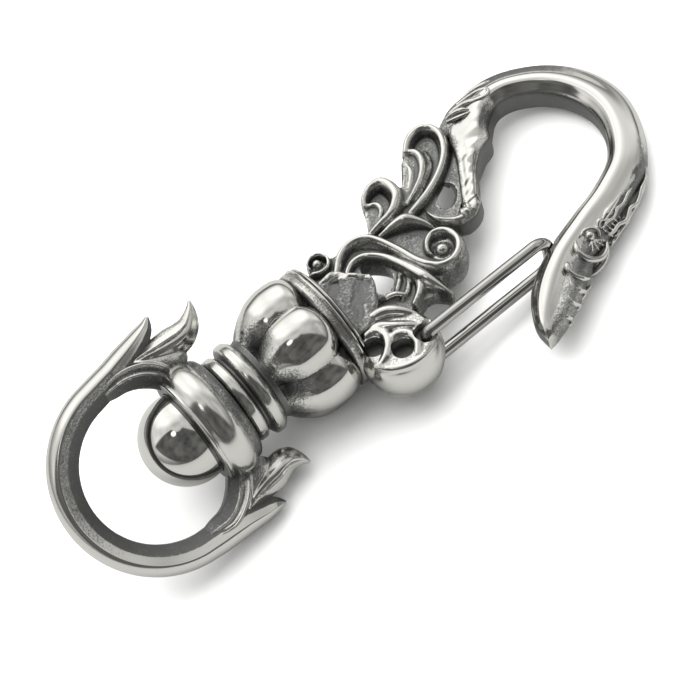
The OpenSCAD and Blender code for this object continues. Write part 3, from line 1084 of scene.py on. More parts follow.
# Fine ridges inside the scrolls
SCROLL_VEINS = {
    "tall_vein": [(29.8, 10.8, 1.35, .14), (29.5, 9.5, 1.4, .26), (28.6, 8.2, 1.4, .3),
                  (26.4, 6.7, 1.4, .24), (24.2, 5.7, 1.35, .12)],
    "scroll_vein": [(11.2, 5.0, 1.2, .12), (13.6, 5.9, 1.3, .28), (15.6, 4.8, 1.3, .3),
                    (17.1, 2.4, 1.3, .28), (18.0, -0.4, 1.2, .12)],
    "small_lobe": [(18.9, 9.2, 1.6, .2), (19.7, 9.2, 1.7, .3), (20.4, 8.5, 1.75, .34),
                   (20.2, 7.5, 1.7, .3), (19.2, 6.8, 1.5, .2)],
    "leaf_groove": [(26.9, 10.9, 1.75, .15), (26.6, 9.6, 1.85, .3), (25.6, 8.3, 1.8, .3),
                    (24.2, 7.2, 1.6, .15)],
    "hollow_vein_1": [(16.0, -0.8, 1.0, .15), (15.5, -1.9, 1.3, .3), (14.5, -2.8, 1.35, .32),
                      (13.5, -3.5, 1.2, .2)],
    "hollow_vein_2": [(16.4, -2.0, 1.0, .15), (15.9, -3.2, 1.3, .3), (14.9, -4.2, 1.35, .34),
                      (13.6, -4.6, 1.2, .2)],
    "low_branch": [(11.4, -2.6, 1.2, .2), (12.4, -3.1, 1.6, .4), (13.6, -3.6, 1.7, .4),
                   (14.4, -4.4, 1.5, .3)],
}


@dataclass
class Scrollwork(Assembly):
    """The openwork scrolls between the block and the hook's stem."""

    rim_width: float = 1.5
    rim_height: float = 2.65
    floor_height: float = 1.05
    floor_rows: Rows = ((6.2, 3.7), (8.1, 6.7), (10.7, 7.1), (13.5, 6.7), (16.7, 5.9), (18.7, 9.1),
                        (20.7, 11.1), (22.7, 10.1), (24.5, 8.9), (26.6, 11.7), (29.2, 13.5), (31.6, 13.5),
                        (32.4, 10.9), (33.4, 8.4), (29.6, 2.4), (25.4, -0.6), (23, -4.8), (19.6, -4.8),
                        (18.8, -7.2), (14.6, -6), (12, -7.1), (6.2, -6))
    low_hole: Rows = ((13.1, 3.3), (14.5, 2.7), (15.3, 1.5), (15.5, 0.1), (14.9, -1.4), (13.7, -2.2),
                      (12.5, -1.8), (12.4, -0.3), (12.5, 1.4))
    high_hole: Rows = ((27.4, 5.7), (28.4, 6.2), (29.3, 5.3), (28.9, 3.7), (27.4, 2.6), (26.3, 2.9),
                       (26.1, 4.0))
    flare: Row = (-0.12, -0.68)   # how far the high hole leans for each millimetre of height
    leaf_face: Rows = ((22.8, 5.9), (25.2, 6.9), (27.0, 7.9), (28.2, 9.2), (28.7, 10.7), (28.2, 11.7),
                       (27.1, 11.6), (26.2, 10.6), (25.3, 9.4), (24.3, 8.4), (23.2, 7.4))
    lobe_face: Rows = ((18.9, 9.4), (19.9, 9.0), (20.4, 8.0), (19.8, 6.9), (18.4, 6.2), (17.2, 6.3),
                       (18.0, 8.0))
    volute: Row = (21.9, -2.5)
    curl: Row = (9.5, 7.2)

    def rim(self, name: str, rows: Rows, width: float, height: float) -> Obj:
        """A raised rim that runs through the whole thickness.

        Args:
            name: Name of the form.
            rows: Rows (x, y, share of its size).
            width: Share of the usual width.
            height: Share of the usual height.

        Returns:
            The rim.
        """
        upper = RIM_SIDE + [(-u, v) for u, v in RIM_SIDE[-2::-1]]
        section = upper + [(u, -v) for u, v in upper[::-1]]
        sized = [(x, y, self.rim_width * width * share, self.rim_height * height * (0.55 + 0.45 * share))
                 for x, y, share in rows]
        return bent(straight(name, section, sized), sized)

    def rims(self) -> list[Obj]:
        """Every rim of the scrolls.

        Returns:
            The rims, one for each row of the table and one for the small curl.
        """
        made = [self.rim(name, smooth(rows, 4), width, height)
                for name, (rows, width, height) in SCROLL_RIMS.items()]
        steps = 20
        curl = [(x, y, 1.0 - 0.4 * k / steps)
                for k, (x, y) in enumerate(spiral(self.curl, 1.7, 1.1, -140, 190, steps))]
        root = smooth(((6.9, 6.0, .5), (7.5, 6.4, .8)), 2)[:-1]
        made.append(self.rim("small_curl", root + curl, 0.62, 0.86))
        return made

    def leaning_hole(self, top: float) -> Obj:
        """Cutter for the high hole, which leans so that it opens wide at the back.

        Args:
            top: Height up to which it cuts.

        Returns:
            The cutter.
        """
        cutter = slab("hole", closed(self.high_hole, 4), -3.2, top)
        place, _ = points_of(cutter)
        for k in (0, 1):
            place[:, k] += place[:, 2] * self.flare[k]
        moved(cutter, place)
        return cutter

    def veins(self) -> list[Obj]:
        """Fine ridges and beads inside the scrolls, on the upper face.

        Returns:
            The ridges and beads.
        """
        made = tubes(SCROLL_VEINS, n=4, sides=4)
        ring = [(x, y, 1.25, .2) for x, y in spiral(self.volute, 1.35, 1.35, 0, 350, 24)]
        made.append(tube("volute_ring", ring, sides=4))
        made.append(ball("volute_bead", (*self.volute, 1.35), 0.85))
        made.append(ball("curl_bead", (*self.curl, 1.5), 0.62))
        return made

    def build(self) -> None:
        """Makes the scrolls as one casting."""
        floor = slab("floor", self.floor_rows, -self.floor_height, self.floor_height)
        cut(floor, [slab("hole", closed(self.low_hole, 4), -3, 3), self.leaning_hole(2.2)])
        rims = self.rims()
        for rim in rims:
            if rim.name == "tall_scroll":
                cut(rim, [self.leaning_hole(0.4)])
        plates = [slab("plate", closed(rows, 3), -high, high)
                  for rows, high in ((self.leaf_face, 1.75), (self.lobe_face, 1.55))]
        veins = mirrored("veins", self.veins())
        scrolls = cast("scrollwork", [floor, veins, *plates, *rims], grain=0.145, rounds=6)
        place, normal = points_of(scrolls)
        sunk = ramp(self.rim_height * 0.84, self.rim_height * 0.6, np.abs(place[:, 2]))
        steep = ramp(0.7, 0.3, np.abs(normal[:, 2]))
        cavity = ramp(0.01, 0.08, hollows(scrolls, rounds=24))
        crest = ramp(0.0, -0.05, hollows(scrolls, rounds=10))
        blacken(scrolls, sunk * 0.72 - 0.3 * crest, steep * 0.5, cavity * 0.95)
        self.hand_over(scrolls, "hook_casting")


# Ridges on the block
BLOCK_RIDGES = {
    "ridge": [(7.2, 3.1, 3.65, .3), (8.2, 2.9, 3.75, .44), (9.0, 2.9, 3.9, .5), (9.7, 2.5, 3.85, .42),
              (10.4, 1.7, 3.8, .3), (11.2, 0.8, 3.85, .34), (11.8, 0.0, 3.8, .3), (12.3, -0.7, 3.8, .42)],
    "ledge": [(8.3, 2.4, 3.7, .2), (9.4, 1.9, 3.8, .3), (10.3, 1.1, 3.75, .22)],
    "corner": [(12.3, -0.7, 3.7, .34), (12.0, -1.9, 3.55, .24), (11.2, -3.2, 3.5, .2),
               (10.4, -4.4, 3.4, .2)],
}


@dataclass
class RootBlock(Assembly):
    """The rough block between the collar and the scrolls."""

    half_thick: float = 3.75
    outline: Rows = ((5.6, 3.2), (8.1, 3.2), (9.5, 2.8), (10.5, 1.8), (11.5, 0.6), (12.4, -0.6),
                     (12.0, -1.9), (11.0, -3.7), (9.8, -5.3), (8.8, -6.2), (5.6, -6.2))

    def build(self) -> None:
        """Makes the block with its jagged ridge."""
        body = slab("root_block", self.outline, -self.half_thick, self.half_thick)
        ridges = mirrored("ridges", tubes(BLOCK_RIDGES, n=4, sides=4))
        block = cast("root_block", [body, ridges], grain=0.15, rounds=5)
        place, normal = points_of(block)
        (x, y, z), upright = place.T, np.abs(normal[:, 2])
        flat = ramp(0.6, 0.9, upright)
        side = 0.76 * y - 0.65 * x + 0.12 * np.sin(2.3 * x + 1.1 * y)
        streaks = (np.sin(8.3 * side + 1.2 * np.sin(2.6 * y))
                   + 0.7 * np.sin(4.7 * side + 1.3 + 1.2 * np.sin(1.9 * x))
                   + 0.5 * np.sin(3.1 * x + 6.0 * y))
        fold = np.sin(1.9 * side + 0.4)
        z += np.sign(z) * flat * (0.028 * streaks + 0.12 * fold)
        moved(block, place)
        face = flat * ramp(4.12, 3.88, np.abs(z)) * (0.8 - 0.07 * streaks - 0.12 * fold)
        wall = ramp(0.6, 0.3, upright) * ramp(4.0, 3.4, np.abs(z)) * 0.9
        blacken(block, face, wall)
        self.hand_over(block, "hook_casting")


# Leaf ridges and the raised rims round the knuckle's recesses, on the upper face
KNUCKLE_RIBS = {
    "leaf_1": [(7.9, -5.2, 3.1, .25), (9.2, -5.3, 3.4, .65), (10.8, -5.9, 3.45, .75),
               (12.2, -7.2, 3.3, .6), (13.4, -8.6, 2.8, .2)],
    "leaf_2": [(7.4, -6.1, 3.1, .25), (8.7, -6.8, 3.4, .55), (9.9, -8.0, 3.4, .6), (11.4, -9.2, 3.2, .5),
               (12.8, -10.1, 2.8, .2)],
    "loop_1": [(6.6, -6.6, 3.0, .5), (7.9, -6.8, 3.15, .62), (8.6, -8.0, 3.2, .66), (8.1, -9.5, 3.2, .66),
               (6.9, -10.6, 3.1, .6), (5.4, -11.0, 2.8, .45)],
    "loop_2": [(8.3, -9.5, 3.2, .5), (9.5, -9.2, 3.25, .6), (10.7, -10.1, 3.2, .6),
               (10.8, -11.8, 3.15, .6), (9.6, -13.2, 2.9, .5)],
    "crescent": [(4.9, -10.4, 2.7, .3), (5.7, -11.8, 2.8, .44), (6.8, -12.8, 2.85, .48),
                 (8.2, -13.5, 2.85, .5), (9.8, -13.7, 2.8, .48), (11.3, -13.4, 2.7, .42),
                 (12.6, -12.7, 2.6, .3)],
}


@dataclass
class Knuckle(Assembly):
    """The round knuckle that carries the gate."""

    centre: Row = (9.3, -9.7)
    radius: float = 5.2
    face: float = 3.2
    pin: Row = (12.2, -11.5)
    pocket_floor: float = 1.95
    recess: float = 1.45
    swing_deg: float = 22.0
    holes: Rows = ((6.5, -8.6), (8.9, -11.3))
    hole_r: float = 1.42

    def pocket(self, s: int) -> list[Obj]:
        """Cutters for the pocket that the gate's leg lies and swings in.

        Args:
            s: 1 for the upper face, -1 for the lower one.

        Returns:
            The cutters.
        """
        low, high = sorted((s * self.pocket_floor, s * 6.0))
        reach = 7.0
        rise = reach * math.tan(math.radians(self.swing_deg))
        x, y = self.pin
        lane = [(x, y - 1.05), (x + reach, y - 1.05), (x + reach, y + rise + 1.1), (x, y + 1.2)]
        return [slab("lane", lane, low, high),
                rod("well", (x, y, (low + high) / 2), self.recess, high - low)]

    def build(self) -> None:
        """Makes the knuckle."""
        bowl = ball("gate_knuckle", (*self.centre, 0), self.radius, n=96)
        for s in (-1, 1):
            with editing(bowl):
                bpy.ops.mesh.bisect(plane_co=(0, 0, s * self.face), plane_no=(0, 0, s), use_fill=True,
                                    clear_outer=True)
        ribs = mirrored("ribs", tubes(KNUCKLE_RIBS, n=5, sides=5))
        knuckle = cast("gate_knuckle", [bowl, ribs], grain=0.13, rounds=6)
        holes = [rod("hole", (*spot, s * 3.4), self.hole_r, length=4.0, sides=40)
                 for spot in self.holes for s in (-1, 1)]
        cut(knuckle, [*self.pocket(1), *self.pocket(-1), *holes])
        place, normal = points_of(knuckle)
        height = np.abs(place[:, 2])
        away = np.hypot(place[:, 0] - self.centre[0], place[:, 1] - self.centre[1])
        cavity = ramp(0.012, 0.06, hollows(knuckle, rounds=16))
        deep = ramp(2.9, 2.4, height) * ramp(4.5, 4.2, away)
        flat = ramp(3.35, 3.1, height) * ramp(0.8, 0.95, np.abs(normal[:, 2])) * 0.55
        blacken(knuckle, cavity * 0.9, deep, flat)
        self.hand_over(knuckle, "hook_casting")


@dataclass
class Collar(Assembly):
    """The double-ridged collar between barrel and block."""

    profile: Rows = ((3.9, 7.6), (3.95, 7.95), (4.2, 8.28), (4.8, 8.3), (5.0, 8.15), (5.08, 8.12),
                     (5.16, 8.36), (5.3, 8.42), (5.44, 8.36), (5.52, 8.0), (5.6, 7.95), (5.72, 8.18),
                     (5.84, 8.24), (5.98, 8.18), (6.1, 7.9), (6.3, 7.4), (6.3, 6.0))

    def build(self) -> None:
        """Turns the collar."""
        ring = turned("collar", self.profile, sides=160)
        x, r = about_axis(ring)
        blacken(ring, between(x, 4.1, 4.3, 5.04, 5.14) * 0.5, ramp(8.12, 8.0, r) * 0.9)
        self.hand_over(ring, "hook_casting")


@dataclass
class Barrel(Assembly):
    """The lobed barrel."""

    lobes: int = 6
    turn_deg: float = 30.0
    largest: float = 9.3
    profile: Rows = ((-6.6, .58), (-5.8, .6), (-5.2, .64), (-4.8, .7), (-4.0, .79), (-2.4, .92),
                     (-.6, .985), (1, 1), (2.4, .985), (3.2, .95), (3.8, .89), (4.2, .82), (4.8, .74),
                     (5.6, .66))
    lobe_centre: float = 0.49    # of the lobes' round, as shares of the largest radius
    lobe_out: float = 0.51
    lobe_side: float = 0.49
    ends: tuple[float, float] = (-5.2, 3.9)

    def radius(self, x: Array, angle: Array) -> Array:
        """Radius of the barrel's skin.

        Args:
            x: Station on the long axis.
            angle: Angle round it from the middle of the nearest lobe, in radians.

        Returns:
            The radius.
        """
        # Where a ray from the axis leaves the nearest lobe, an ellipse whose middle lies off the axis
        a, b, c = self.lobe_out, self.lobe_side, self.lobe_centre
        p = np.cos(angle) ** 2 / a ** 2 + np.sin(angle) ** 2 / b ** 2
        q = c * np.cos(angle) / a ** 2
        around = (q + np.sqrt(q ** 2 - p * (c ** 2 / a ** 2 - 1))) / p
        # Towards the valleys the profile is shifted, so that the lobes end like petals
        side = (np.abs(angle) * self.lobes / math.pi) ** 2
        petal = x + 0.6 * side * ramp(0.5, 3.6, x) - 1.0 * side * ramp(-1.0, -4.6, x)
        curve = np.array(smooth(self.profile, 8))
        return self.largest * around * np.interp(petal, curve[:, 0], curve[:, 1])

    def build(self) -> None:
        """Turns the barrel and draws out its lobes."""
        steps = 72
        x0, x1 = self.ends
        blank = [(x0 + (x1 - x0) * k / steps, 8.0) for k in range(steps + 1)]
        barrel = turned("lobed_barrel", blank, sides=self.lobes * 36)
        place, _ = points_of(barrel)
        x, y, z = place.T
        angle = np.arctan2(y, z)
        pitch = math.tau / self.lobes
        local = (angle - math.radians(self.turn_deg) + pitch / 2) % pitch - pitch / 2
        r = self.radius(x, local)
        y[:], z[:] = r * np.sin(angle), r * np.cos(angle)
        moved(barrel, place)
        side = np.abs(local) / (pitch / 2)
        valley = ramp(0.92, 1.0, side) * (0.3 + 0.5 * ramp(1.5, -1.5, x))
        neck = ramp(-1.4, -4.6, x - 1.8 * (side - 0.6)) * (0.35 + 0.5 * ramp(0.2, 0.8, side))
        root = ramp(0.74, 0.64, r / self.largest) * ramp(0.0, 1.0, x) * 0.7
        blacken(barrel, valley, neck, root)
        self.hand_over(barrel, "barrel")


@dataclass
class NeckRings(Assembly):
    """The two neck rings between barrel and swivel band."""

    profile: Rows = ((-10.3, 4.6), (-10.3, 5.4), (-10.22, 5.62), (-9.9, 5.95), (-9.75, 5.98), (-9.1, 5.98),
                     (-8.95, 5.94), (-8.6, 5.62), (-8.45, 5.42), (-8.2, 5.4), (-8.1, 5.5), (-7.95, 6.05),
                     (-7.75, 6.4), (-7.6, 6.48), (-6.85, 6.5), (-6.65, 6.42), (-6.3, 6.1), (-6.1, 5.9),
                     (-5.9, 5.62), (-5.6, 5.58), (-5.2, 5.75), (-5.2, 4.6))

    def build(self) -> None:
        """Turns the rings."""
        rings = turned("neck_rings_turned", self.profile, sides=144)
        x, r = about_axis(rings)
        # Below radius 5.85 the rings are darkened: blackening in the groove between them, painted shade on
        # their end faces by the band and the barrel.
        blacken(rings, ramp(5.85, 5.6, r), ramp(6.3, 6.0, r) * ramp(-8.4, -8.1, x) * 0.7)
        self.hand_over(rings, "neck_rings")


@dataclass
class BallHead(Assembly):
    """The ball that holds the swivel hoop, with its shank."""

    centre: float = -17.0
    radius: float = 5.9
    shank: float = 2.45

    def build(self) -> None:
        """Makes the ball and its shank."""
        steps = 72
        profile = []
        for k in range(steps + 1):
            a = math.pi * k / steps
            r = self.radius * math.sin(a)
            if a <= math.pi / 2 or r >= self.shank:
                profile.append((self.centre - self.radius * math.cos(a), max(r, 0.02)))
        profile += [(-11.0, self.shank), (-10.35, self.shank)]
        head = turned("swivel_ball", profile, sides=144)
        # Painted shade: the back of the ball and the shank, inside the band, are darkened.
        blacken(head, ramp(-13.4, -12.4, about_axis(head)[0]) * 0.9)
        self.hand_over(head, "ball_head")


# Across the hoop's bar, from its inner wall over the ridge to its outer edge: rows (place, height)
HOOP_WALL = [(-0.5, 0.0), (-0.5, 0.18), (-0.485, 0.3)]
HOOP_CHAMFER = [(-0.485, 0.3), (-0.37, 0.47), (-0.25, 0.64), (-0.14, 0.79)]
HOOP_GRAIN = [(-0.14, 0.79), (-0.05, 0.86), (0.04, 0.925), (0.12, 0.985)]
HOOP_OUTER = [(0.12, 0.985), (0.155, 1.0), (0.2, 0.975), (0.28, 0.88), (0.36, 0.72), (0.43, 0.5),
              (0.48, 0.25), (0.5, 0.0)]
# Across the hoop's inner arm, and across a leaf, from their inner to their outer sides
ARM_ACROSS = [(-0.5, 0.0), (-0.5, 0.3), (-0.45, 0.48), (-0.3, 0.62), (-0.14, 0.74), (-0.02, 0.87),
              (0.04, 0.9), (0.1, 0.82), (0.18, 0.8), (0.26, 0.86), (0.34, 0.98), (0.4, 1.0), (0.46, 0.85),
              (0.5, 0.4), (0.5, 0.0)]
LEAF_ACROSS = [(-0.5, 0.0), (-0.48, 0.3), (-0.4, 0.52), (-0.28, 0.7), (-0.17, 0.82), (-0.08, 0.93),
               (0.02, 0.97), (0.09, 0.93), (0.12, 0.87), (0.15, 0.93), (0.2, 1.0), (0.26, 0.9),
               (0.36, 0.7), (0.44, 0.52), (0.49, 0.3), (0.5, 0.0)]


@dataclass
class SwivelHoop(Assembly):
    """The swivelling hoop: band, bar, leaf tips and the webs between them."""

    turn_deg: float = 38.0
    centre: Row = (-21.85, -0.5)
    middle_r: float = 11.38
    width: float = 3.95
    thick: float = 4.2
    seat_x: float = -17.0    # middle of the ball's seat in the band
    seat_r: float = 6.0
    band: Rows = ((-15.9, 5.3), (-15.9, 7.1), (-15.84, 7.36), (-15.7, 7.5), (-15.5, 7.5), (-15.36, 7.42),
                  (-15.26, 7.46), (-15.0, 7.78), (-14.5, 8.02), (-13.8, 8.17), (-13.1, 8.14),
                  (-12.5, 7.95), (-12.0, 7.62), (-11.75, 7.34), (-11.6, 7.25), (-11.3, 7.2), (-11.0, 7.1),
                  (-10.7, 6.85), (-10.5, 6.5), (-10.5, 4.5))
    upper_rows: Rows = ((-11.8, 14.4, .12, .2), (-13, 13.45, .5, .6), (-14.8, 12.7, .74, .84),
                        (-17, 12, .92, .96), (-19.4, 11.4, .98, 1))
    lower_rows: Rows = ((-21.2, -11.95, 1.03, 1), (-19.0, -12.1, 1.0, 1), (-17.0, -12.3, .93, .96),
                        (-14.9, -12.75, .74, .84), (-13.3, -13.1, .5, .6), (-12.2, -13.7, .12, .2))
    arm_rows: Rows = ((-22.8, 10.2, 1.5, 2.4), (-20.8, 10.1, 2.35, 3.7), (-19.2, 10.1, 2.8, 4.1),
                      (-17.7, 9.75, 3.1, 4.2), (-16.4, 9.1, 3.3, 4.2), (-15.4, 8.2, 3.2, 4.1),
                      (-14.7, 7.2, 3.0, 3.9))
    leaf_rows: Rows = ((-16.8, 11.0, 1.2, 2.4), (-15.2, 10.7, 2.4, 3.5), (-13.4, 10.3, 3.5, 4.0),
                       (-11.6, 10.05, 4.0, 4.1), (-10.0, 10.05, 3.7, 3.9), (-8.7, 10.45, 3.0, 3.4),
                       (-7.8, 11.1, 2.2, 2.6), (-7.0, 12.0, 1.2, 1.6), (-6.5, 12.9, .3, .6))
    root_rows: Rows = ((-20.0, 11.0, 1.4, 2.6), (-18.4, 10.8, 2.2, 3.2), (-16.6, 10.2, 3.2, 3.5),
                       (-14.8, 9.3, 4.2, 3.5), (-13.2, 8.4, 4.6, 3.5), (-12.2, 7.6, 3.8, 3.4),
                       (-11.6, 7.0, 2.6, 3.0))

    def ring(self) -> Obj:
        """The hoop's bar with its two outer leaf tips.

        Returns:
            The bar, with its blackening, lightened towards its lower side as painted light.
        """
        arc = [(x, y, 1.0, 1.0) for x, y in spiral(self.centre, self.middle_r, self.middle_r, 100, 262, 66)]
        rows = [(x, y, w * self.width, t * self.thick)
                for x, y, w, t in smooth(self.upper_rows, 6) + arc + smooth(self.lower_rows, 6)]
        half = (smooth(HOOP_WALL, 3)[:-1] + smooth(HOOP_CHAMFER, 3)[:-1] + smooth(HOOP_GRAIN, 3)[:-1]
                + smooth(HOOP_OUTER, 4))
        bar = straight("hoop_ring", folded([(-u, v) for u, v in half]), rows)
        left, height, _ = on_bar(bar, rows)
        across = -left
        x, y, _ = points_of(bent(bar, rows))[0].T
        leafward = ramp(-20.0, -16.5, x) * ramp(0.0, 1.0, y)
        grain = between(across, -0.17, -0.13, 0.1, 0.14) * (1 - leafward)
        # Painted light: the grained band's blackening fades out towards -Y, so the hoop's lower side reads
        # lighter, as if lit.
        grain *= 0.05 + 0.43 * ramp(-8.0, 1.0, y)
        side = ramp(0.3, 0.1, height) * ramp(0.3, 0.5, across) * 0.3
        blacken(bar, ramp(-0.11, -0.15, across) * 0.92, grain, side)
        return bar

    def cluster(self, low: bool) -> Obj:
        """A long leaf, its arm and their root on the band, as one casting.

        Args:
            low: Whether it is the lower one, which sits further out and points straighter.

        Returns:
            The casting, with its patina.
        """
        arm_rows, leaf_rows = smooth(self.arm_rows, 6), smooth(self.leaf_rows, 6)
        bars = (("inner_arm", arm_rows, folded(smooth(ARM_ACROSS, 3))),
                ("leaf", leaf_rows, folded(smooth(LEAF_ACROSS, 3))),
                ("root", smooth(self.root_rows, 5), round_section(40, 0.5)))
        parts = [bent(straight(name, section, rows), rows) for name, rows, section in bars]
        made = cast("long_leaf", parts, grain=0.09, rounds=4)
        place, _ = points_of(made)
        x, y, z = place.T
        arm, leaf = beside(place[:, :2], arm_rows), beside(place[:, :2], leaf_rows)
        on_leaf = ramp(-15.2, -14.4, x) * ramp(-0.56, -0.5, leaf)
        grain = ramp(0.3, 0.4, leaf) * (0.2 if low else 0.4)
        groove = between(leaf, 0.08, 0.11, 0.13, 0.16) * 0.6
        flank = ramp(-0.2, -0.28, leaf) * 0.25
        dark = ramp(0.0, -0.06, arm) * (1 - on_leaf) * 0.85
        dip = between(arm, 0.04, 0.1, 0.26, 0.32) * (1 - on_leaf) * (0.3 if low else 0.75)
        near_band = ramp(9.0, 8.3, np.hypot(y, z)) * 0.65
        cavity = ramp(0.03, 0.09, hollows(made, rounds=16)) * 0.8
        blacken(made, on_leaf * np.maximum.reduce([grain, groove, flank]), dark, dip, near_band, cavity)
        if low:
            x -= 0.3 * ramp(-11.5, -6.5, x)
            y += 0.72 * ramp(-14.5, -19.5, x) - 1.2 * ramp(-11.5, -6.5, x)
            y *= -1
            moved(made, place)
            closed_up(made)
        return made

    def build(self) -> None:
        """Makes the hoop, its leaves and its band."""
        turn = Matrix.Rotation(math.radians(self.turn_deg), 4, "X")
        band = turned("swivel_band", self.band, sides=160)
        cut(band, [ball("seat", (self.seat_x, 0, 0), self.seat_r, n=96)])
        x, r = about_axis(band)
        blacken(band, ramp(-12.2, -11.6, x) * 0.75, ramp(7.4, 7.2, r) * ramp(-15.0, -15.4, x) * 0.9)
        leaves = joined("long_leaves", [self.cluster(low=False), self.cluster(low=True)])
        for obj in (band, self.ring(), leaves):
            obj.data.transform(turn)
            self.hand_over(obj, "swivel_hoop")


@dataclass
class WireGate(Assembly):
    """The sprung wire gate."""

    wire: float = 0.8
    leg: float = 2.9
    pin: Row = (12.2, -11.5)
    end: float = 31.2
    bend: float = 2.0
    ear: float = 1.0

    def build(self) -> None:
        """Bends the wire."""
        x, y = self.pin
        ear, bend, leg = self.ear, self.bend, self.leg
        half = [(x, 0.3), *spiral((x + ear, leg - ear), ear, ear, 180, 90, 12),
                *spiral((self.end - bend, leg - bend), bend, bend, 90, 0, 12)]
        whole = half + [(u, -v) for u, v in half[::-1]]
        gate = tube("gate_wire_loop", [(u, y, v, self.wire) for u, v in whole], sides=10)
        # Painted shade: the wire is darkened where it sits down in the knuckle's well and pocket.
        blacken(gate, ramp(13.4, 12.4, points_of(gate)[0][:, 0]) * 0.5)
        self.hand_over(gate, "wire_gate")


# The studio


# The lamps: name, place in metres, width and watts
LAMPS = (("Overhead", (0.0, 0.0, 0.9), 1.6, 11.0), ("Key", (0.04, 0.18, 0.5), 0.7, 2.6))


@dataclass
class Studio:
    """Pale floor, soft light and the camera at the photograph's angle."""

    right: Row = (0.73467, -0.599225, -0.318103)
    up: Row = (0.671042, 0.572854, 0.470682)
    back: Row = (-0.099818, -0.559256, 0.822963)
    place_mm: Row = (-34.1541, -167.9564, 253.8702)
    lens: float = 126.514
    floor_tone: float = 0.88
    # Painted shade: the floor as the metal mirrors it is darker than as the camera sees it.
    shaded_mirror_tone: float = 0.42   # of the floor as the metal mirrors it
    window: float = 1.6           # brightness of the small window in the dark room
    tint: Row = (1.0, 0.995, 0.975)

    def floor(self) -> None:
        """Lays the pale floor, which the metal mirrors darker than the camera sees it: painted shade on the
        floor's reflection.
        """
        clear()
        bpy.ops.mesh.primitive_grid_add(x_subdivisions=4, y_subdivisions=4, size=3.0)
        ground = added("pale_floor")
        paper = bpy.data.materials.new("Pale paper")
        paper.use_nodes = True
        graph = Graph(paper.node_tree)
        # Camera rays see the pale floor; every other ray sees the darker tone, painted shade.
        tones = {0: graph.node("LightPath", {}).outputs["Is Camera Ray"],
                 6: (self.shaded_mirror_tone, self.shaded_mirror_tone, self.shaded_mirror_tone * 0.98, 1),
                 7: (self.floor_tone, self.floor_tone, self.floor_tone * 0.995, 1)}
        tone = graph.node("Mix", tones, data_type="RGBA").outputs[2]
        graph.feed(graph.tree.nodes["Principled BSDF"],
                   {"Base Color": tone, "Roughness": 0.9, "Specular IOR Level": 0.1})
        ground.data.materials.append(paper)
        ground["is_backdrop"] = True

    @staticmethod
    def heading(azimuth: float, elevation: float) -> Row:
        """Direction at an azimuth from -Y towards +X and an elevation, in degrees."""
        az, el = math.radians(azimuth), math.radians(elevation)
        return math.sin(az) * math.cos(el), -math.cos(az) * math.cos(el), math.sin(el)

    def brightness(self, graph: Graph) -> Socket:
        """How bright the tent is in each direction: pale, with a dark room behind the camera.

        Args:
            graph: The world's shader tree.

        Returns:
            The brightness.
        """
        place = graph.node("TexCoord", {}).outputs["Generated"]

        def toward(axis: Row, low: float, high: float) -> Socket:
            """Soft step over how far a direction points along an axis."""
            dot = graph.node("VectorMath", {0: place, 1: axis}, operation="DOT_PRODUCT")
            return graph.step(dot.outputs["Value"], low, high)

        def patch(azimuth: float, elevation: float, outer: float, inner: float) -> Socket:
            """A round patch with a soft edge between two angles from its middle."""
            low, high = (math.cos(math.radians(a)) for a in (outer, inner))
            return toward(self.heading(azimuth, elevation), low, high)

        upward = (0.0, 0.0, 1.0)
        # The room lies in front, between two upright edges, a slanting sill and the zenith
        room = graph.times(
            toward((-0.309, -0.951, 0.0), -0.03, 0.05), toward((-0.788, -0.616, 0.0), -0.03, 0.05),
            toward((0.287, -0.195, 0.938), -0.02, 0.06), toward(upward, 0.985, 0.965))
        tent = graph.add(
            0.4,                                                           # cloth all round
            graph.times(toward(upward, 0.1, 0.75), 0.25),                  # brighter overhead
            graph.times(toward(self.heading(-110, 15), 0.1, 0.9), 0.3),    # brighter on the left
            graph.times(patch(170, 44, 42, 20), 0.66),                     # broad light at the back
            graph.times(patch(128, 30, 38, 12), 0.4),                      # lower light on its right
            graph.swing(graph.noise("Generated", 2.4, 1.5), 1.0))          # folds in the cloth
        skirt = graph.add(0.42, graph.times(toward(upward, 0.05, 0.34), 0.58))
        gloom = graph.add(0.13, graph.swing(graph.noise("Generated", 3.0, 1.5), 0.3))
        outside = graph.times(tent, skirt, graph.math("SUBTRACT", 1.0, room))
        window = graph.times(patch(-66, 72, 7, 5), self.window)
        return graph.add(outside, graph.times(gloom, room), window)

    def sky(self) -> None:
        """Hangs the tent that the metal mirrors; the camera itself sees plain white."""
        world = bpy.data.worlds.new("Tent")
        bpy.context.scene.world = world
        world.use_nodes = True
        graph = Graph(world.node_tree)
        level = self.brightness(graph)
        channels = {k: graph.times(level, share) for k, share in enumerate(self.tint)}
        tint = graph.node("CombineColor", channels)
        tent = graph.tree.nodes["Background"]
        graph.feed(tent, {"Color": tint.outputs["Color"]})
        plain = graph.node("Background", {"Color": (1, 1, 1, 1), "Strength": 1.0})
        seen = graph.node("LightPath", {}).outputs["Is Camera Ray"]
        mix = graph.node("MixShader", {0: seen, 1: tent.outputs[0], 2: plain.outputs[0]})
        graph.feed(graph.tree.nodes["World Output"], {"Surface": mix.outputs[0]})

    def lamps(self) -> None:
        """A broad lamp overhead and a smaller one behind; the metal reflects neither."""
        for name, place, size, watts in LAMPS:
            data = bpy.data.lights.new(name, "AREA")
            data.shape = "DISK"
            data.size = size
            data.energy = watts
            lamp = bpy.data.objects.new(name, data)
            bpy.context.scene.collection.objects.link(lamp)
            lamp.location = place
            lamp.rotation_euler = (-Vector(place)).to_track_quat("-Z", "Y").to_euler()
            lamp.visible_glossy = False

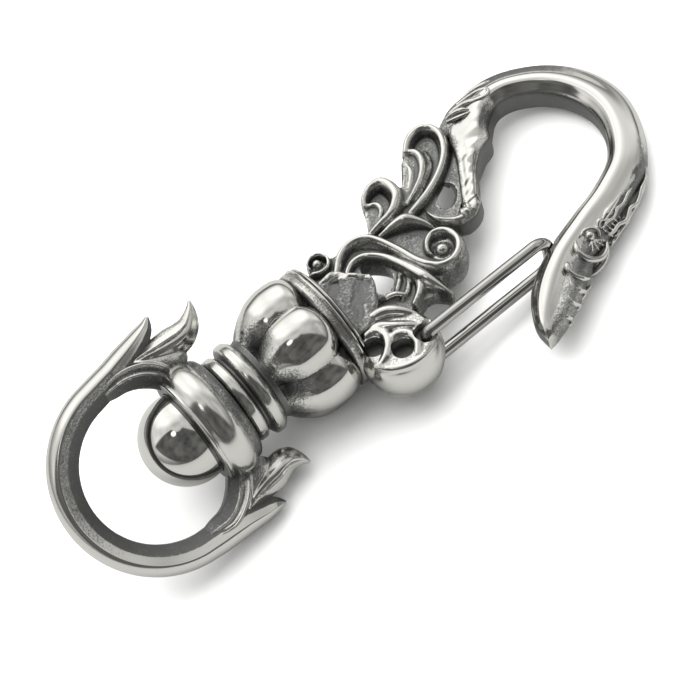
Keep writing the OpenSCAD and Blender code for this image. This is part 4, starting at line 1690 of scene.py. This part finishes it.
    def camera(self) -> None:
        """Sets the camera where the photograph was taken."""
        data = bpy.data.cameras.new("Photograph")
        data.lens = self.lens
        data.sensor_width = 36.0
        data.clip_start, data.clip_end = 0.01, 20.0
        camera = bpy.data.objects.new("Photograph", data)
        bpy.context.scene.collection.objects.link(camera)
        axes = Matrix((self.right, self.up, self.back)).transposed().to_4x4()
        camera.matrix_world = Matrix.Translation(Vector(self.place_mm) * MM) @ axes
        bpy.context.scene.camera = camera

    def build(self) -> None:
        """Sets up the studio."""
        self.floor()
        self.sky()
        self.lamps()
        self.camera()
        bpy.context.scene.view_settings.view_transform = "Standard"


def laid_down(joints: Sequence[dict]) -> Matrix:
    """Where the clasp's own frame, in millimetres, lies in the row frame.

    Args:
        joints: The frame's joints.

    Returns:
        The matrix that lays a piece down.
    """
    by_name = {j["name"]: j for j in joints}
    swivel, gate = by_name["hoop_swivel"], by_name["gate_hinge"]
    x = Vector(swivel["axis"]).normalized()
    z = Vector(gate["axis"]).normalized()
    y = z.cross(x).normalized()
    z = x.cross(y)
    origin = Vector(swivel["pos_m"]) - x * (JOINT_X * MM)
    axes = Matrix((x, y, z)).transposed().to_4x4()
    return Matrix.Translation(origin) @ axes @ Matrix.Scale(MM, 4)


def corners() -> list[list[float]]:
    """The shown object's box as plain lists."""
    return [list(corner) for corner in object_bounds()]


def main() -> None:
    """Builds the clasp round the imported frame."""
    logging.basicConfig(level=logging.INFO, format="%(message)s")
    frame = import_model()
    clear()
    lay = laid_down(frame["joints"])
    makers: list[Assembly] = [
        HookArm(lay, CAST, Body.CLASP),
        Scrollwork(lay, CAST, Body.CLASP),
        RootBlock(lay, ROUGH_CAST, Body.CLASP),
        Knuckle(lay, CAST, Body.CLASP),
        Collar(lay, CAST, Body.CLASP),
        Barrel(lay, LOBES, Body.CLASP),
        NeckRings(lay, RINGS, Body.CLASP),
        BallHead(lay, MIRROR, Body.CLASP),
        SwivelHoop(lay, LEAVES, Body.HOOP),
        WireGate(lay, WIRE, Body.GATE),
    ]
    for maker in makers:
        maker.build()
    Studio().build()


if __name__ == "__main__":
    main()
